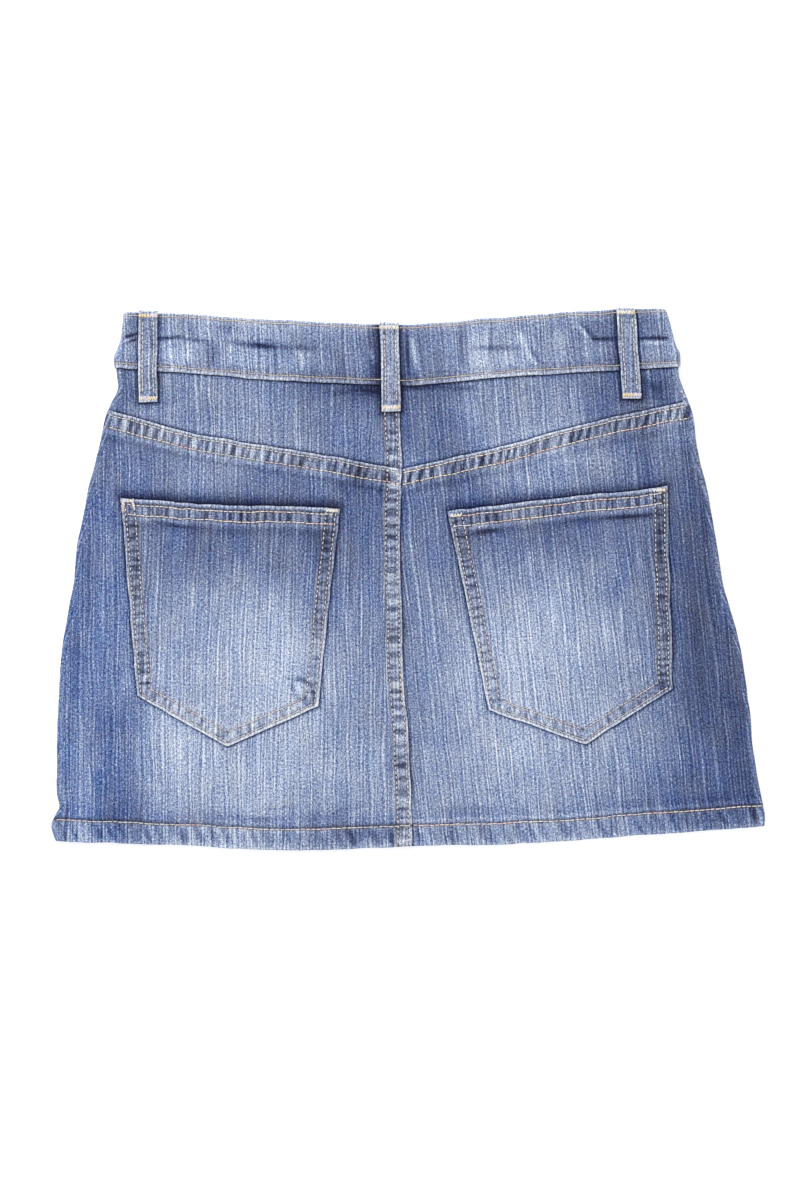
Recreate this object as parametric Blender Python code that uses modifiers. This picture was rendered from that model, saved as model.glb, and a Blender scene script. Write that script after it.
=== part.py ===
"""A denim mini skirt laid flat on its front, so that its back faces up.

Run with: blender --background --python part.py

The skirt is a flattened tube of cloth. X runs across it, Y from the hem up to the waist, and Z up out
of the surface that it lies on. The origin is on that surface, under the middle of the outline. Sizes
in the tables and constants below are millimetres; the meshes are made in metres.

Each piece of cloth is an open grid placed on one face of the cloth, thickened by Solidify. "Outer" is
the right side of the cloth: up on the back half of the skirt and down on the front half.
"""

import math

import bmesh
import bpy

COLLECTION = "denim_skirt"
MM = 0.001

# Cloth and clearances
CLOTH = 1.1             # one layer of denim
GAP = 0.3               # clearance between neighbouring pieces
STEP = CLOTH + GAP      # how far a piece rises to lie on another
FOLDED = 2.2            # a turned edge: the hem, and the top of a pocket
HEM_RISE = 1.9          # how much higher the back's outer face is where the hems lie on each other

# Felled seams
LAP = 8.0               # width of the overlap
UNDERLAP = LAP - 1.5    # how far the lower piece runs in under it
RAMP = 8.0              # length of the slope up onto the overlap
CLEAR = 0.6             # how far past an edge a piece that lies on it stays raised

# Waistband: one strip folded over the waist edge
LEAF = 1.0              # thickness of each leaf of the folded strip
LEAF_OUT = 1.15         # from the band's middle to its face, above the cloth it holds
SEAM_OUT = CLOTH / 2 + GAP + LEAF   # the same where it holds the cloth
HELD = 8.0              # height of cloth held in the band
SEAM_HEIGHT = 9.5       # height of the thick lower edge of the band
FLARE = 3.0             # height of the slope above that edge
BAND_BELOW = 37.8       # nominal height of the band, which its rows scale to

# Trim
LOOP_WIDTH = 12.6
LOOP_CLOTH = 1.2
LOOP_SLACK = 0.3        # how much further a loop's lower end stands off the yoke
HEM_DEPTH = 13.5
POCKET_HEM = 12.0
BUTTON_RADIUS = 8.5
SHANK_RADIUS = 2.2
ZIP_WIDTH = 26.0
ZIP_TOP = 115.0
ZIP_BOTTOM = 18.0
TAPE = 1.0
CHAIN = 1.7
SLIDER = 2.8

# The front half
FRONT_DIP = 7.0         # how far the front of the waist dips below the back, at the centre
WAIST_LIFT = LOOP_CLOTH + GAP   # the front band is held up by its belt loops
BAND_FRONT = WAIST_LIFT + SEAM_OUT  # height of the middle of the front band
EXTENSION = 34.0        # how far the band's right end runs in behind its left end
CLIMB = 16.0            # length over which it climbs there
CORNER = 5.5            # how far from the centre front the right panel's cloth in the band ends
SIDE_WRAP = 2.0         # how far the front panels reach in over the back past the side fold

# Height of the waistband's middle over the surface, on the back half
BAND_ROOM = 0.6         # between the bands of the two halves, at the sides
BAND_BACK_SIDE = BAND_FRONT + 2 * SEAM_OUT + BAND_ROOM
BAND_BACK_CENTRE = BAND_FRONT + SEAM_OUT + 2 * GAP + 2 * LEAF_OUT + SEAM_OUT

# Outline of the waistband, at heights above the origin
BAND_SIDES = (
    # height, left, centre, right
    (130.0, -191.2, -6.2, 176.6),
    (144.0, -191.0, -6.2, 176.2),
    (157.5, -187.3, -6.2, 172.6),
    (177.0, -185.8, -6.2, 167.3),
)

# Outline of the panels; centre is the centre-back seam
BODY_SIDES = (
    # height, left, centre, right
    (-178.0, -228.6, 2.6, 230.6),
    (-170.0, -229.0, 2.4, 231.0),
    (-160.0, -231.7, 2.4, 231.7),
    (-154.0, -229.6, 2.2, 230.8),
    (-147.5, -226.8, 1.8, 229.8),
    (-138.0, -228.1, 1.3, 228.2),
    (-108.0, -228.4, 0.2, 224.2),
    (-74.0, -227.4, -2.6, 220.3),
    (-52.0, -226.0, -3.8, 216.6),
    (-34.0, -223.4, -4.3, 212.5),
    (-3.0, -218.0, -5.3, 204.2),
    (22.0, -215.0, -5.5, 200.3),
    (46.0, -209.8, -5.5, 196.4),
    (62.0, -206.9, -4.8, 193.8),
    (75.0, -203.6, -4.2, 190.2),
    (90.0, -199.6, -5.2, 187.2),
    (106.0, -196.4, -6.0, 184.8),
    (117.0, -192.0, -6.2, 180.8),
    (126.0, -189.4, -6.2, 177.8),
    (134.0, -189.4, -6.2, 175.4),
    (150.0, -189.4, -6.2, 174.8),
)

# Heights of the lines that run across the back, by thirds of each half
LEVELS = {
    # line: left side, thirds, centre, thirds, right side
    "waist": (174.1, 171.1, 167.6, 165.4, 169.6, 174.1, 176.3),
    "band": (137.4, 132.6, 128.4, 126.0, 130.6, 134.8, 138.4),
    "yoke": (110.0, 92.8, 81.6, 71.0, 86.4, 102.6, 115.4),
    "hem": (-169.9, -172.8, -176.2, -173.4, -171.4, -166.0, -160.6),
}

# Height of the back's outer face over the surface, by the drop below the waistband's lower edge
BACK_HEIGHTS = (
    # drop, side, centre
    (-12.0, BAND_BACK_SIDE + CLOTH / 2, BAND_BACK_CENTRE + CLOTH / 2),
    (0.0, BAND_BACK_SIDE + CLOTH / 2, BAND_BACK_CENTRE + CLOTH / 2),
    (14.0, 6.0, 7.8),
    (34.0, 4.0, 6.6),
    (60.0, 3.2, 4.9),
    (120.0, 3.1, 4.6),
    (170.0, 3.0, 4.2),
    (250.0, 3.0, 3.6),
    (330.0, 3.0, 3.0),
)

# Height of the front's outer face over the surface, by the same drop
FRONT_HEIGHTS = (
    # drop, height
    (-12.0, BAND_FRONT - CLOTH / 2),
    (0.0, BAND_FRONT - CLOTH / 2),
    (7.0, WAIST_LIFT + 0.1),
    (26.0, WAIST_LIFT),
    (52.0, 0.0),
    (400.0, 0.0),
)

# Patch pockets: corners and the height of the bow in the top edge
POCKETS = {
    # name: side, top left, top right, lower right, point, lower left, bow of the top edge
    "pocket_left": ("left", (-187.6, 53.6), (-44.9, 47.2), (-58.9, -82.2), (-118.4, -108.2),
                    (-176.6, -75.6), -1.6),
    "pocket_right": ("right", (25.3, 44.4), (168.2, 60.4), (171.7, -70.6), (114.9, -106.8),
                     (51.9, -84.8), 0.6),
}

# Belt loops: place of each end's middle
BACK_LOOPS = {
    # name: top x, top y, bottom x, bottom y
    "belt_loop_back_left": (-169.1, 174.8, -169.6, 115.3),
    "belt_loop_back_centre": (-12.6, 166.6, -11.4, 109.2),
    "belt_loop_back_right": (140.6, 176.3, 144.9, 117.4),
}
FRONT_LOOPS = {
    # name: top x, top y, bottom x, bottom y
    "belt_loop_front_left": (-104.0, 166.6, -106.0, 107.0),
    "belt_loop_front_right": (88.0, 169.4, 91.0, 109.4),
}
BUTTON_AT = (-14.5, 141.0)

# name: base colour, roughness, metallic
MATERIALS = {
    "denim": ((0.115, 0.175, 0.335), 0.9, 0.0),
    "tape": ((0.03, 0.04, 0.09), 0.85, 0.0),
    "brass": ((0.52, 0.36, 0.17), 0.38, 1.0),
}


# ---------------------------------------------------------------------------------------------
# Curves through the tables


def smooth(value, start, end):
    """0 before start, 1 after end, and a soft S between them; start may be the larger one."""
    part = min(1.0, max(0.0, (value - start) / (end - start)))
    return part * part * (3 - 2 * part)


def curve(points, at):
    """Smooth curve through (place, value) points in rising order, without overshoot."""
    count = len(points)
    if at <= points[0][0]:
        return points[0][1]
    if at >= points[-1][0]:
        return points[-1][1]
    slopes = []
    for i in range(count - 1):
        slopes.append((points[i + 1][1] - points[i][1]) / (points[i + 1][0] - points[i][0]))
    tangents = [slopes[0]]
    for before, after in zip(slopes, slopes[1:]):
        same_way = before * after > 0
        tangents.append(2 * before * after / (before + after) if same_way else 0.0)
    tangents.append(slopes[-1])
    i = 0
    while at > points[i + 1][0]:
        i += 1
    span = points[i + 1][0] - points[i][0]
    t = (at - points[i][0]) / span
    rest = 1 - t
    return (rest * rest * (1 + 2 * t) * points[i][1] + t * t * (3 - 2 * t) * points[i + 1][1]
            + span * t * rest * (rest * tangents[i] - t * tangents[i + 1]))


def column(table, number):
    return [(row[0], row[number]) for row in table]


BODY_LEFT, BODY_CENTRE, BODY_RIGHT = (column(BODY_SIDES, n) for n in (1, 2, 3))
BAND_LEFT, BAND_CENTRE, BAND_RIGHT = (column(BAND_SIDES, n) for n in (1, 2, 3))
BACK_SIDE, BACK_CENTRE = (column(BACK_HEIGHTS, n) for n in (1, 2))
FRONT_HEIGHT = column(FRONT_HEIGHTS, 1)
LEVEL_POINTS = {line: [(i / 3 - 1, height) for i, height in enumerate(heights)]
                for line, heights in LEVELS.items()}


def level(line, s):
    """Height of a line across the back at s, from -1 at the left side over 0 at the centre to 1.

    The yoke seam makes a V at the centre seam, and the other lines run on smoothly.
    """
    points = LEVEL_POINTS[line]
    if line == "yoke":
        points = points[:4] if s < 0 else points[3:]
    return curve(points, s)


def front_level(line, s):
    """The same line on the front half, whose waist dips lower at the centre."""
    dip = 0.0 if line == "hem" else FRONT_DIP * (1 - s * s)
    return level(line, s) - dip


# ---------------------------------------------------------------------------------------------
# Heights of the cloth


def back_base(s, y):
    """Height of the back's outer face where it lies on no other piece."""
    drop = level("band", s) - y
    side = curve(BACK_SIDE, drop)
    centre = curve(BACK_CENTRE, drop)
    hem = HEM_RISE * smooth(y - level("hem", s), HEM_DEPTH + 8.0, HEM_DEPTH + 1.0)
    return side + (centre - side) * (1 - s * s) + hem


def front_base(s, y):
    return curve(FRONT_HEIGHT, front_level("band", s) - y)


def band_edge(side, y):
    return curve(BAND_LEFT if side == "left" else BAND_RIGHT, y)


def body_edge(side, y):
    """Outline of the panels, which turn in to run up between the waistband's leaves."""
    edge = curve(BODY_LEFT if side == "left" else BODY_RIGHT, y)
    inside = SEAM_OUT - CLOTH / 2
    held = band_edge(side, y) + (inside if side == "left" else -inside)
    lower_edge = level("band", -1.0 if side == "left" else 1.0)
    return edge + (held - edge) * smooth(y, lower_edge - 6.0, lower_edge - 1.0)


def fold_radius(side, y):
    """Outer radius of the rounded fold at a side of the flattened tube."""
    s = -1.0 if side == "left" else 1.0
    return (back_base(s, y) - front_base(s, y)) / 2


def fold_centre(side, y):
    """Where the flat runs of the cloth end and the side fold begins."""
    radius = fold_radius(side, y)
    return body_edge(side, y) + radius if side == "left" else body_edge(side, y) - radius


def centre_x(y):
    return curve(BODY_CENTRE, y)


def half_width(side, y):
    return abs(fold_centre(side, y) - centre_x(y))


def place_across(x, y):
    """s of a point: -1 at the left fold, 0 at the centre seam, 1 at the right fold."""
    side = "left" if x < centre_x(y) else "right"
    return max(-1.0, min(1.0, (x - centre_x(y)) / half_width(side, y)))


def seam_rise(s, y):
    """1 where the lower panels lie on the yokes, falling to 0 below the seam."""
    return smooth(level("yoke", s) - y, LAP + RAMP, LAP)


def centre_rise(x, y):
    """1 where the left pieces lie on the right ones, falling to 0 to the left of the seam.

    The overlap ends just below the waistband, which holds the two yokes edge to edge.
    """
    across = smooth(centre_x(y) - x, LAP + RAMP, LAP)
    return across * smooth(y, level("band", 0.0) - 1.0, level("band", 0.0) - 6.0)


def back_outer(piece, x, y):
    """Height of the outer face of one of the back's pieces."""
    s = place_across(x, y)
    base = back_base(s, y)
    if piece == "yoke_left":
        layers = centre_rise(x, y)
    elif piece == "yoke_right":
        layers = 0.0
    elif piece == "back_left":
        layers = seam_rise(s, y) + centre_rise(x, y) * (1 + seam_rise(s, y))
    else:
        on_left_yoke = smooth(x - centre_x(y), CLEAR + RAMP, CLEAR)
        layers = seam_rise(s, y) * (1 + on_left_yoke)
    return base + STEP * layers


def band_middle(s, half):
    """Height of the waistband's middle over the surface."""
    if half == "front":
        return BAND_FRONT
    return BAND_BACK_SIDE + (BAND_BACK_CENTRE - BAND_BACK_SIDE) * (1 - s * s)


def band_face(drop):
    """Distance of the band's face from its middle, at a drop below its top edge."""
    top = LEAF_OUT
    if drop < top:
        return math.sqrt(max(0.0, top * top - (top - drop) ** 2))
    above_seam = BAND_BELOW - SEAM_HEIGHT - drop
    return top + (SEAM_OUT - top) * smooth(above_seam, FLARE, 0.0)


# ---------------------------------------------------------------------------------------------
# Making objects


def make_material(name):
    colour, roughness, metallic = MATERIALS[name]
    material = bpy.data.materials.new(name)
    material.use_nodes = True
    shader = material.node_tree.nodes["Principled BSDF"]
    shader.inputs["Base Color"].default_value = (*colour, 1.0)
    shader.inputs["Roughness"].default_value = roughness
    shader.inputs["Metallic"].default_value = metallic
    material.diffuse_color = (*colour, 1.0)
    return material


def new_object(name, mesh, kind, collection):
    mesh.name = name
    material = make_material(kind)
    material.name = f"{name}_{kind}"
    mesh.materials.append(material)
    piece = bpy.data.objects.new(name, mesh)
    collection.objects.link(piece)
    return piece


def cloth(name, columns, rows, place, collection, thickness=CLOTH, kind="denim", thick=None):
    """A sheet of columns by rows points, put where place(column, row) says and thickened inward.

    The outer face is the one that X to Y turns about. thick(column, row) gives the thickness at a
    point where it isn't the same all over, and thickness is then the largest one.
    """
    mesh = bpy.data.meshes.new(name)
    grid = bmesh.new()
    bmesh.ops.create_grid(grid, x_segments=columns - 1, y_segments=rows - 1, size=1.0)
    share = {}
    for vertex in grid.verts:
        across = round((vertex.co.x + 1) / 2 * (columns - 1))
        up = round((vertex.co.y + 1) / 2 * (rows - 1))
        vertex.co = [size * MM for size in place(across, up)]
        share[vertex.index] = thick(across, up) / thickness if thick else 1.0
    grid.to_mesh(mesh)
    grid.free()
    piece = new_object(name, mesh, kind, collection)
    solidify = piece.modifiers.new("cloth", "SOLIDIFY")
    solidify.thickness = thickness * MM
    solidify.offset = -1.0
    solidify.use_even_offset = True
    if thick:
        group = piece.vertex_groups.new(name="thickness")
        for index, weight in share.items():
            group.add([index], weight, "REPLACE")
        solidify.vertex_group = "thickness"
    return piece


def stations(length, near, count, far):
    """Places along a length: fixed ones from its start, even ones between, fixed ones to its end."""
    start, end = near[-1], length - far[-1]
    middle = [start + (end - start) * k / count for k in range(1, count)]
    return list(near) + middle + [length - place for place in reversed(far)]


# ---------------------------------------------------------------------------------------------
# The back: two yokes and two lower panels


BACK_PIECES = {
    # name: side, top line, bottom line
    "yoke_left": ("left", "band", "yoke"),
    "yoke_right": ("right", "band", "yoke"),
    "back_left": ("left", "yoke", "hem"),
    "back_right": ("right", "yoke", "hem"),
}
BACK_COUNT = 8


def near_centre(side, y):
    """A piece's first columns, by their distance out from the centre-back seam."""
    if side == "left":
        return (0.0, LAP, LAP + RAMP / 2, LAP + RAMP)
    band = level("band", 0.0)
    start = -UNDERLAP + (UNDERLAP + GAP) * smooth(y, band - 10.0, band - 6.0)
    return (start, CLEAR, CLEAR + RAMP / 2, CLEAR + RAMP)


def back_point(name, across, up, rows_of):
    """Point of a back piece's outer face, by its column out from the centre seam and its row up."""
    side, top_line, bottom_line = BACK_PIECES[name]
    sign = -1.0 if side == "left" else 1.0
    s = sign * across / (len(near_centre(side, 0.0)) + BACK_COUNT - 1)
    for _ in range(6):
        y = rows_of(level(bottom_line, s), level(top_line, s))[up]
        width = half_width(side, y)
        reach = width - SIDE_WRAP - GAP
        out = stations(reach, near_centre(side, y), BACK_COUNT, (0.0,))[across]
        s = sign * min(1.0, max(0.0, out / width))
    x = centre_x(y) + sign * out
    return x, y, back_outer(name, x, y)


def yoke_rows(bottom, top):
    """Rows of a yoke, from in under the lower panel up into the waistband."""
    start = bottom - UNDERLAP
    length = top + HELD - start
    return [start + place for place in stations(length, (0.0, UNDERLAP), 4, (0.0, HELD + 1, HELD + 6))]


def panel_rows(bottom, top):
    """Rows of a lower panel, from the hem's fold up to the yoke seam."""
    near = (0.0, HEM_DEPTH - 4, HEM_DEPTH - 0.4, HEM_DEPTH + 0.4, HEM_DEPTH + 7)
    far = (0.0, LAP, LAP + RAMP / 2, LAP + RAMP)
    return [bottom + place for place in stations(top - bottom, near, 13, far)]


def make_back_piece(name, collection):
    side = BACK_PIECES[name][0]
    rows_of = yoke_rows if name.startswith("yoke") else panel_rows
    rows = len(rows_of(0.0, 100.0))
    columns = len(near_centre(side, 0.0)) + BACK_COUNT

    def out_from_centre(across):
        return columns - 1 - across if side == "left" else across

    def place(across, up):
        return back_point(name, out_from_centre(across), up, rows_of)

    def thick(across, up):
        lapped = out_from_centre(across) <= 1
        return FOLDED if up <= 2 and not lapped else CLOTH

    if name.startswith("yoke"):
        return cloth(name, columns, rows, place, collection)
    return cloth(name, columns, rows, place, collection, thickness=FOLDED, thick=thick)


# ---------------------------------------------------------------------------------------------
# The front: two panels that wrap up round the side folds


FOLD_STEPS = 6
FRONT_COUNT = 9
FRONT_NEAR = 5           # columns near the centre front


def climb(out):
    """How far the band's right end, and the cloth in it, rise to pass behind the left end."""
    return (SEAM_OUT + GAP + LEAF_OUT) * smooth(out, CLIMB, 0.0)


def near_front(side, y):
    """First columns of a front panel, by their distance out from the centre front."""
    start = GAP / 2
    if side == "right":
        band = front_level("band", 0.0)
        start += (CORNER - start) * smooth(y, band - 9.0, band - 1.0)
    return (start, CORNER + 1.0, CLIMB * 0.65, CLIMB, CLIMB * 1.5)


def front_rows(side, s, bottom, top):
    """Rows of a front panel; at the side seam they are those of the back pieces."""
    at_side = level("yoke", -1.0 if side == "left" else 1.0)
    at_centre = front_level("band", 0.0) - 8.0
    seam = at_centre + (at_side - at_centre) * s * s
    return panel_rows(bottom, seam) + yoke_rows(seam, top)[2:]


def front_point(side, step, up):
    """Point of a front panel, by its step out from the centre front and round the side fold."""
    sign = -1.0 if side == "left" else 1.0
    flat_steps = FRONT_NEAR + FRONT_COUNT - 1
    s = sign * min(1.0, step / flat_steps)
    for _ in range(6):
        y = front_rows(side, s, front_level("hem", s), front_level("band", s))[up]
        width = half_width(side, y)
        out = stations(width, near_front(side, y), FRONT_COUNT, (0.0,))[min(step, flat_steps)]
        s = sign * min(1.0, out / width)
    x = centre_x(y) + sign * out
    if step <= flat_steps:
        lift = 0.0
        if side == "right":
            band = front_level("band", s)
            lift = climb(out) * smooth(y, band - 14.0, band - 1.0)
        return x, y, front_base(s, y) + lift
    turned_steps = min(step - flat_steps, FOLD_STEPS)
    angle = math.pi * turned_steps / FOLD_STEPS
    radius = fold_radius(side, y)
    wrap = SIDE_WRAP if step > flat_steps + FOLD_STEPS else 0.0
    return (x + sign * (radius * math.sin(angle) - wrap), y,
            front_base(sign, y) + radius * (1 - math.cos(angle)))


def make_front_panel(side, collection):
    columns = FRONT_NEAR + FRONT_COUNT + FOLD_STEPS + 1
    rows = len(front_rows(side, 0.0, 0.0, 300.0))

    def place(across, up):
        step = across if side == "left" else columns - 1 - across
        return front_point(side, step, up)

    def thick(across, up):
        return FOLDED if up <= 2 else CLOTH

    return cloth(f"front_{side}", columns, rows, place, collection, thickness=FOLDED, thick=thick)


# ---------------------------------------------------------------------------------------------
# The waistband: a folded strip that runs round the waist, its ends lapped at the centre front


BAND_STEPS = 10         # along a quarter of the waist
BAND_FOLD_STEPS = 6     # round a side


def band_rows():
    """The strip's rows, as (drop below the top edge, distance from the band's middle)."""
    drops = (BAND_BELOW, BAND_BELOW - SEAM_HEIGHT, BAND_BELOW - SEAM_HEIGHT - FLARE,
             BAND_BELOW * 0.4, LEAF_OUT)
    outer = [(drop, band_face(drop)) for drop in drops]
    turn = [(LEAF_OUT * (1 - math.sin(angle)), LEAF_OUT * math.cos(angle))
            for angle in (math.pi / 4, math.pi / 2)]
    inner = [(drop, -out) for drop, out in reversed(outer + turn[:1])]
    return outer + turn + inner


def band_stations():
    """The strip's places round the waist, from its left end at the centre front and back there."""
    places = [("front", -i / BAND_STEPS) for i in range(BAND_STEPS)]
    places += [("left", i / BAND_FOLD_STEPS) for i in range(BAND_FOLD_STEPS)]
    places += [("back", i / BAND_STEPS - 1) for i in range(2 * BAND_STEPS)]
    places += [("right", i / BAND_FOLD_STEPS) for i in range(BAND_FOLD_STEPS)]
    places += [("front", 1 - i / BAND_STEPS) for i in range(BAND_STEPS - 1)]
    places += [("end", part) for part in (-CLIMB, -CLIMB * 0.65, -CORNER + 0.5, 0.0, EXTENSION)]
    return places


def band_width(side, y):
    """Flat half width of the band's middle."""
    s = -1.0 if side == "left" else 1.0
    radius = (band_middle(s, "back") - band_middle(s, "front")) / 2
    return abs(band_edge(side, y) - curve(BAND_CENTRE, y)) - radius - SEAM_OUT, radius


def band_point(station, drop, out):
    """Point of the folded strip, at a drop below the top edge and a distance out from the middle."""
    where, part = station
    if where in ("left", "right"):
        s = -1.0 if where == "left" else 1.0
        y = level("waist", s) - drop / BAND_BELOW * (level("waist", s) - level("band", s))
        width, radius = band_width(where, y)
        turn = math.pi * (part if where == "left" else 1 - part)
        x = curve(BAND_CENTRE, y) + s * (width + (radius + out) * math.sin(turn))
        z = band_middle(s, "front") + radius - (radius + out) * math.cos(turn)
        return x, y, z
    if where == "end":
        s, half = 0.0, "front"
    else:
        s, half = part, where
    line = front_level if half == "front" else level
    y = line("waist", s) - drop / BAND_BELOW * (line("waist", s) - line("band", s))
    side = "left" if s < 0 else "right"
    x = curve(BAND_CENTRE, y) + s * band_width(side, y)[0]
    if half == "back":
        return x, y, band_middle(s, "back") + out
    z = band_middle(s, "front") - out
    if where == "end":
        x -= part
        z = band_middle(s, "front") + climb(-part)
        z -= max(-LEAF_OUT, min(LEAF_OUT, out)) if part >= 0 else out
    return x, y, z


def make_waistband(collection):
    rows = band_rows()
    places = band_stations()

    def place(across, up):
        drop, out = rows[up]
        return band_point(places[across], drop, out)

    return cloth("waistband", len(places), len(rows), place, collection, thickness=LEAF)


# ---------------------------------------------------------------------------------------------
# Pockets and belt loops, made from the points of what they lie on


POCKET_COLUMNS = 13
POCKET_POINT = 6        # the column that ends at the pocket's point
POCKET_ROWS = 11


def between(start, end, part):
    return tuple(a + (b - a) * part for a, b in zip(start, end))


def pocket_outline(name, across, down):
    """Point of a pocket, from 0 to 1 across and from 0 at the top edge to 1 at the lower edge."""
    side, top_left, top_right, low_right, point, low_left, bow = POCKETS[name]
    top = between(top_left, top_right, across)
    top = (top[0], top[1] + bow * 4 * across * (1 - across))
    middle = POCKET_POINT / (POCKET_COLUMNS - 1)
    if across <= middle:
        low = between(low_left, point, across / middle)
    else:
        low = between(point, low_right, (across - middle) / (1 - middle))
    return between(top, low, down)


def make_pocket(name, collection):
    panel = f"back_{POCKETS[name][0]}"
    hem_share = POCKET_HEM / 150
    downs = [0.0, hem_share - 0.003, hem_share + 0.003]
    downs += [hem_share + (1 - hem_share) * i / (POCKET_ROWS - 3) for i in range(1, POCKET_ROWS - 2)]

    def place(across, up):
        x, y = pocket_outline(name, across / (POCKET_COLUMNS - 1), downs[POCKET_ROWS - 1 - up])
        lift = GAP + (FOLDED if up >= POCKET_ROWS - 2 else CLOTH)
        return x, y, back_outer(panel, x, y) + lift

    def thick(across, up):
        return FOLDED if up >= POCKET_ROWS - 2 else CLOTH

    return cloth(name, POCKET_COLUMNS, POCKET_ROWS, place, collection, thickness=FOLDED, thick=thick)


def band_outer(x, y):
    """Height of the back band's outer face."""
    side = "left" if x < curve(BAND_CENTRE, y) else "right"
    s = max(-1.0, min(1.0, (x - curve(BAND_CENTRE, y)) / band_width(side, y)[0]))
    height = level("waist", s) - level("band", s)
    drop = max(LEAF_OUT, (level("waist", s) - y) / height * BAND_BELOW)
    return band_middle(s, "back") + band_face(drop)


def make_back_loop(name, collection):
    """A strap over the back band, from its top edge down onto the yoke."""
    top_x, top_y, low_x, low_y = BACK_LOOPS[name]
    yoke = "yoke_right" if top_x > 0 else "yoke_left"
    edge = level("band", place_across(low_x, low_y))
    heights = [low_y, low_y + 4, edge - 7, edge - 2.5, edge + 1, edge + SEAM_HEIGHT,
               edge + SEAM_HEIGHT + FLARE, (edge + top_y) / 2 + 6, top_y - 5, top_y]

    def place(across, up):
        y = heights[up]
        part = (y - low_y) / (top_y - low_y)
        middle = low_x + (top_x - low_x) * part
        x = middle + LOOP_WIDTH * (across / 2 - 0.5)
        under = [middle + LOOP_WIDTH * share for share in (-0.5, -0.2, 0.2, 0.5)]
        if up >= 3:
            rests = max(band_outer(place, max(y, edge + 1)) for place in under)
        else:
            rests = max(back_outer(yoke, place, y) for place in under) + LOOP_SLACK
        return x, y, rests + GAP + LOOP_CLOTH

    return cloth(name, 3, len(heights), place, collection, thickness=LOOP_CLOTH)


def make_front_loop(name, collection):
    """A strap under the front band, flat on the surface that the skirt lies on."""
    top_x, top_y, low_x, low_y = FRONT_LOOPS[name]

    def place(across, up):
        part = up / 4
        x = low_x + (top_x - low_x) * part - LOOP_WIDTH * (across / 2 - 0.5)
        return x, low_y + (top_y - low_y) * part, 0.0

    return cloth(name, 3, 5, place, collection, thickness=LOOP_CLOTH)


# ---------------------------------------------------------------------------------------------
# The fastening, hidden under the skirt: a zip and a shank button


def make_zip(collection):
    """Closed zip inside the fly: tape, the ridge of its chain, and the slider at the chain's top."""
    places = (0.0, 0.38, 0.4, 0.6, 0.62, 1.0)
    heights = [ZIP_TOP - drop for drop in (0.0, 5.0, 6.0, 15.0, 16.0, 32.0, 48.0, 72.0)]
    heights = [ZIP_BOTTOM] + heights[::-1]

    def thick(across, up):
        if across not in (2, 3):
            return TAPE
        return SLIDER if up in (5, 6) else CHAIN

    def place(across, up):
        y = heights[up]
        x = centre_x(y) - 1.0 + ZIP_WIDTH * (places[across] - 1.0)
        return x, y, front_base(place_across(x, y), y) + CLOTH + GAP + thick(across, up)

    return cloth("zip", len(places), len(heights), place, collection, thickness=SLIDER, kind="tape",
                 thick=thick)


def turned(name, profile, at, kind, collection):
    """A turned solid from a (radius, height) profile that starts and ends on its axis."""
    mesh = bpy.data.meshes.new(name)
    half = bmesh.new()
    points = [half.verts.new((radius * MM, 0.0, height * MM)) for radius, height in profile]
    for start, end in zip(points, points[1:]):
        half.edges.new((start, end))
    half.to_mesh(mesh)
    half.free()
    piece = new_object(name, mesh, kind, collection)
    piece.location = [place * MM for place in at]
    screw = piece.modifiers.new("turn", "SCREW")
    screw.steps = screw.render_steps = 24
    screw.use_merge_vertices = True
    screw.merge_threshold = 0.0001
    screw.use_normal_calculate = True
    return piece


def make_button(collection):
    """Shank button: its cap under the band, its shank up through the buttonhole."""
    cap_top = BAND_FRONT - LEAF_OUT - GAP
    shank_top = BAND_FRONT + SEAM_OUT + GAP - 0.1
    profile = ((0.0, shank_top), (SHANK_RADIUS, shank_top), (SHANK_RADIUS, cap_top),
               (BUTTON_RADIUS, cap_top), (BUTTON_RADIUS, 0.5), (BUTTON_RADIUS - 0.6, 0.0), (0.0, 0.0))
    return turned("button", profile, (*BUTTON_AT, 0.0), "brass", collection)


def cut_buttonhole(waistband, cutters):
    """Slot through the band's left end, for the button's shank."""
    mesh = bpy.data.meshes.new("buttonhole")
    block = bmesh.new()
    bmesh.ops.create_cube(block, size=1.0)
    low, high = BAND_FRONT - SEAM_OUT - GAP, BAND_FRONT + LEAF_OUT + GAP
    bmesh.ops.scale(block, vec=(16.0 * MM, 6.0 * MM, (high - low) * MM), verts=block.verts)
    bmesh.ops.translate(block, verts=block.verts,
                        vec=(BUTTON_AT[0] * MM, BUTTON_AT[1] * MM, (low + high) / 2 * MM))
    block.to_mesh(mesh)
    block.free()
    cutter = bpy.data.objects.new("buttonhole", mesh)
    cutters.objects.link(cutter)
    cutter.hide_render = True
    cutter.display_type = "WIRE"
    cut = waistband.modifiers.new("buttonhole", "BOOLEAN")
    cut.operation = "DIFFERENCE"
    cut.object = cutter


# ---------------------------------------------------------------------------------------------


def new_collection(name):
    collection = bpy.data.collections.new(name)
    bpy.context.scene.collection.children.link(collection)
    return collection


def main():
    for leftover in list(bpy.data.objects):
        bpy.data.objects.remove(leftover, do_unlink=True)
    skirt = new_collection(COLLECTION)
    cutters = new_collection("cutters")
    for name in BACK_PIECES:
        make_back_piece(name, skirt)
    for side in ("left", "right"):
        make_front_panel(side, skirt)
    waistband = make_waistband(skirt)
    for name in POCKETS:
        make_pocket(name, skirt)
    for name in BACK_LOOPS:
        make_back_loop(name, skirt)
    for name in FRONT_LOOPS:
        make_front_loop(name, skirt)
    make_zip(skirt)
    make_button(skirt)
    cut_buttonhole(waistband, cutters)


main()
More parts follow.
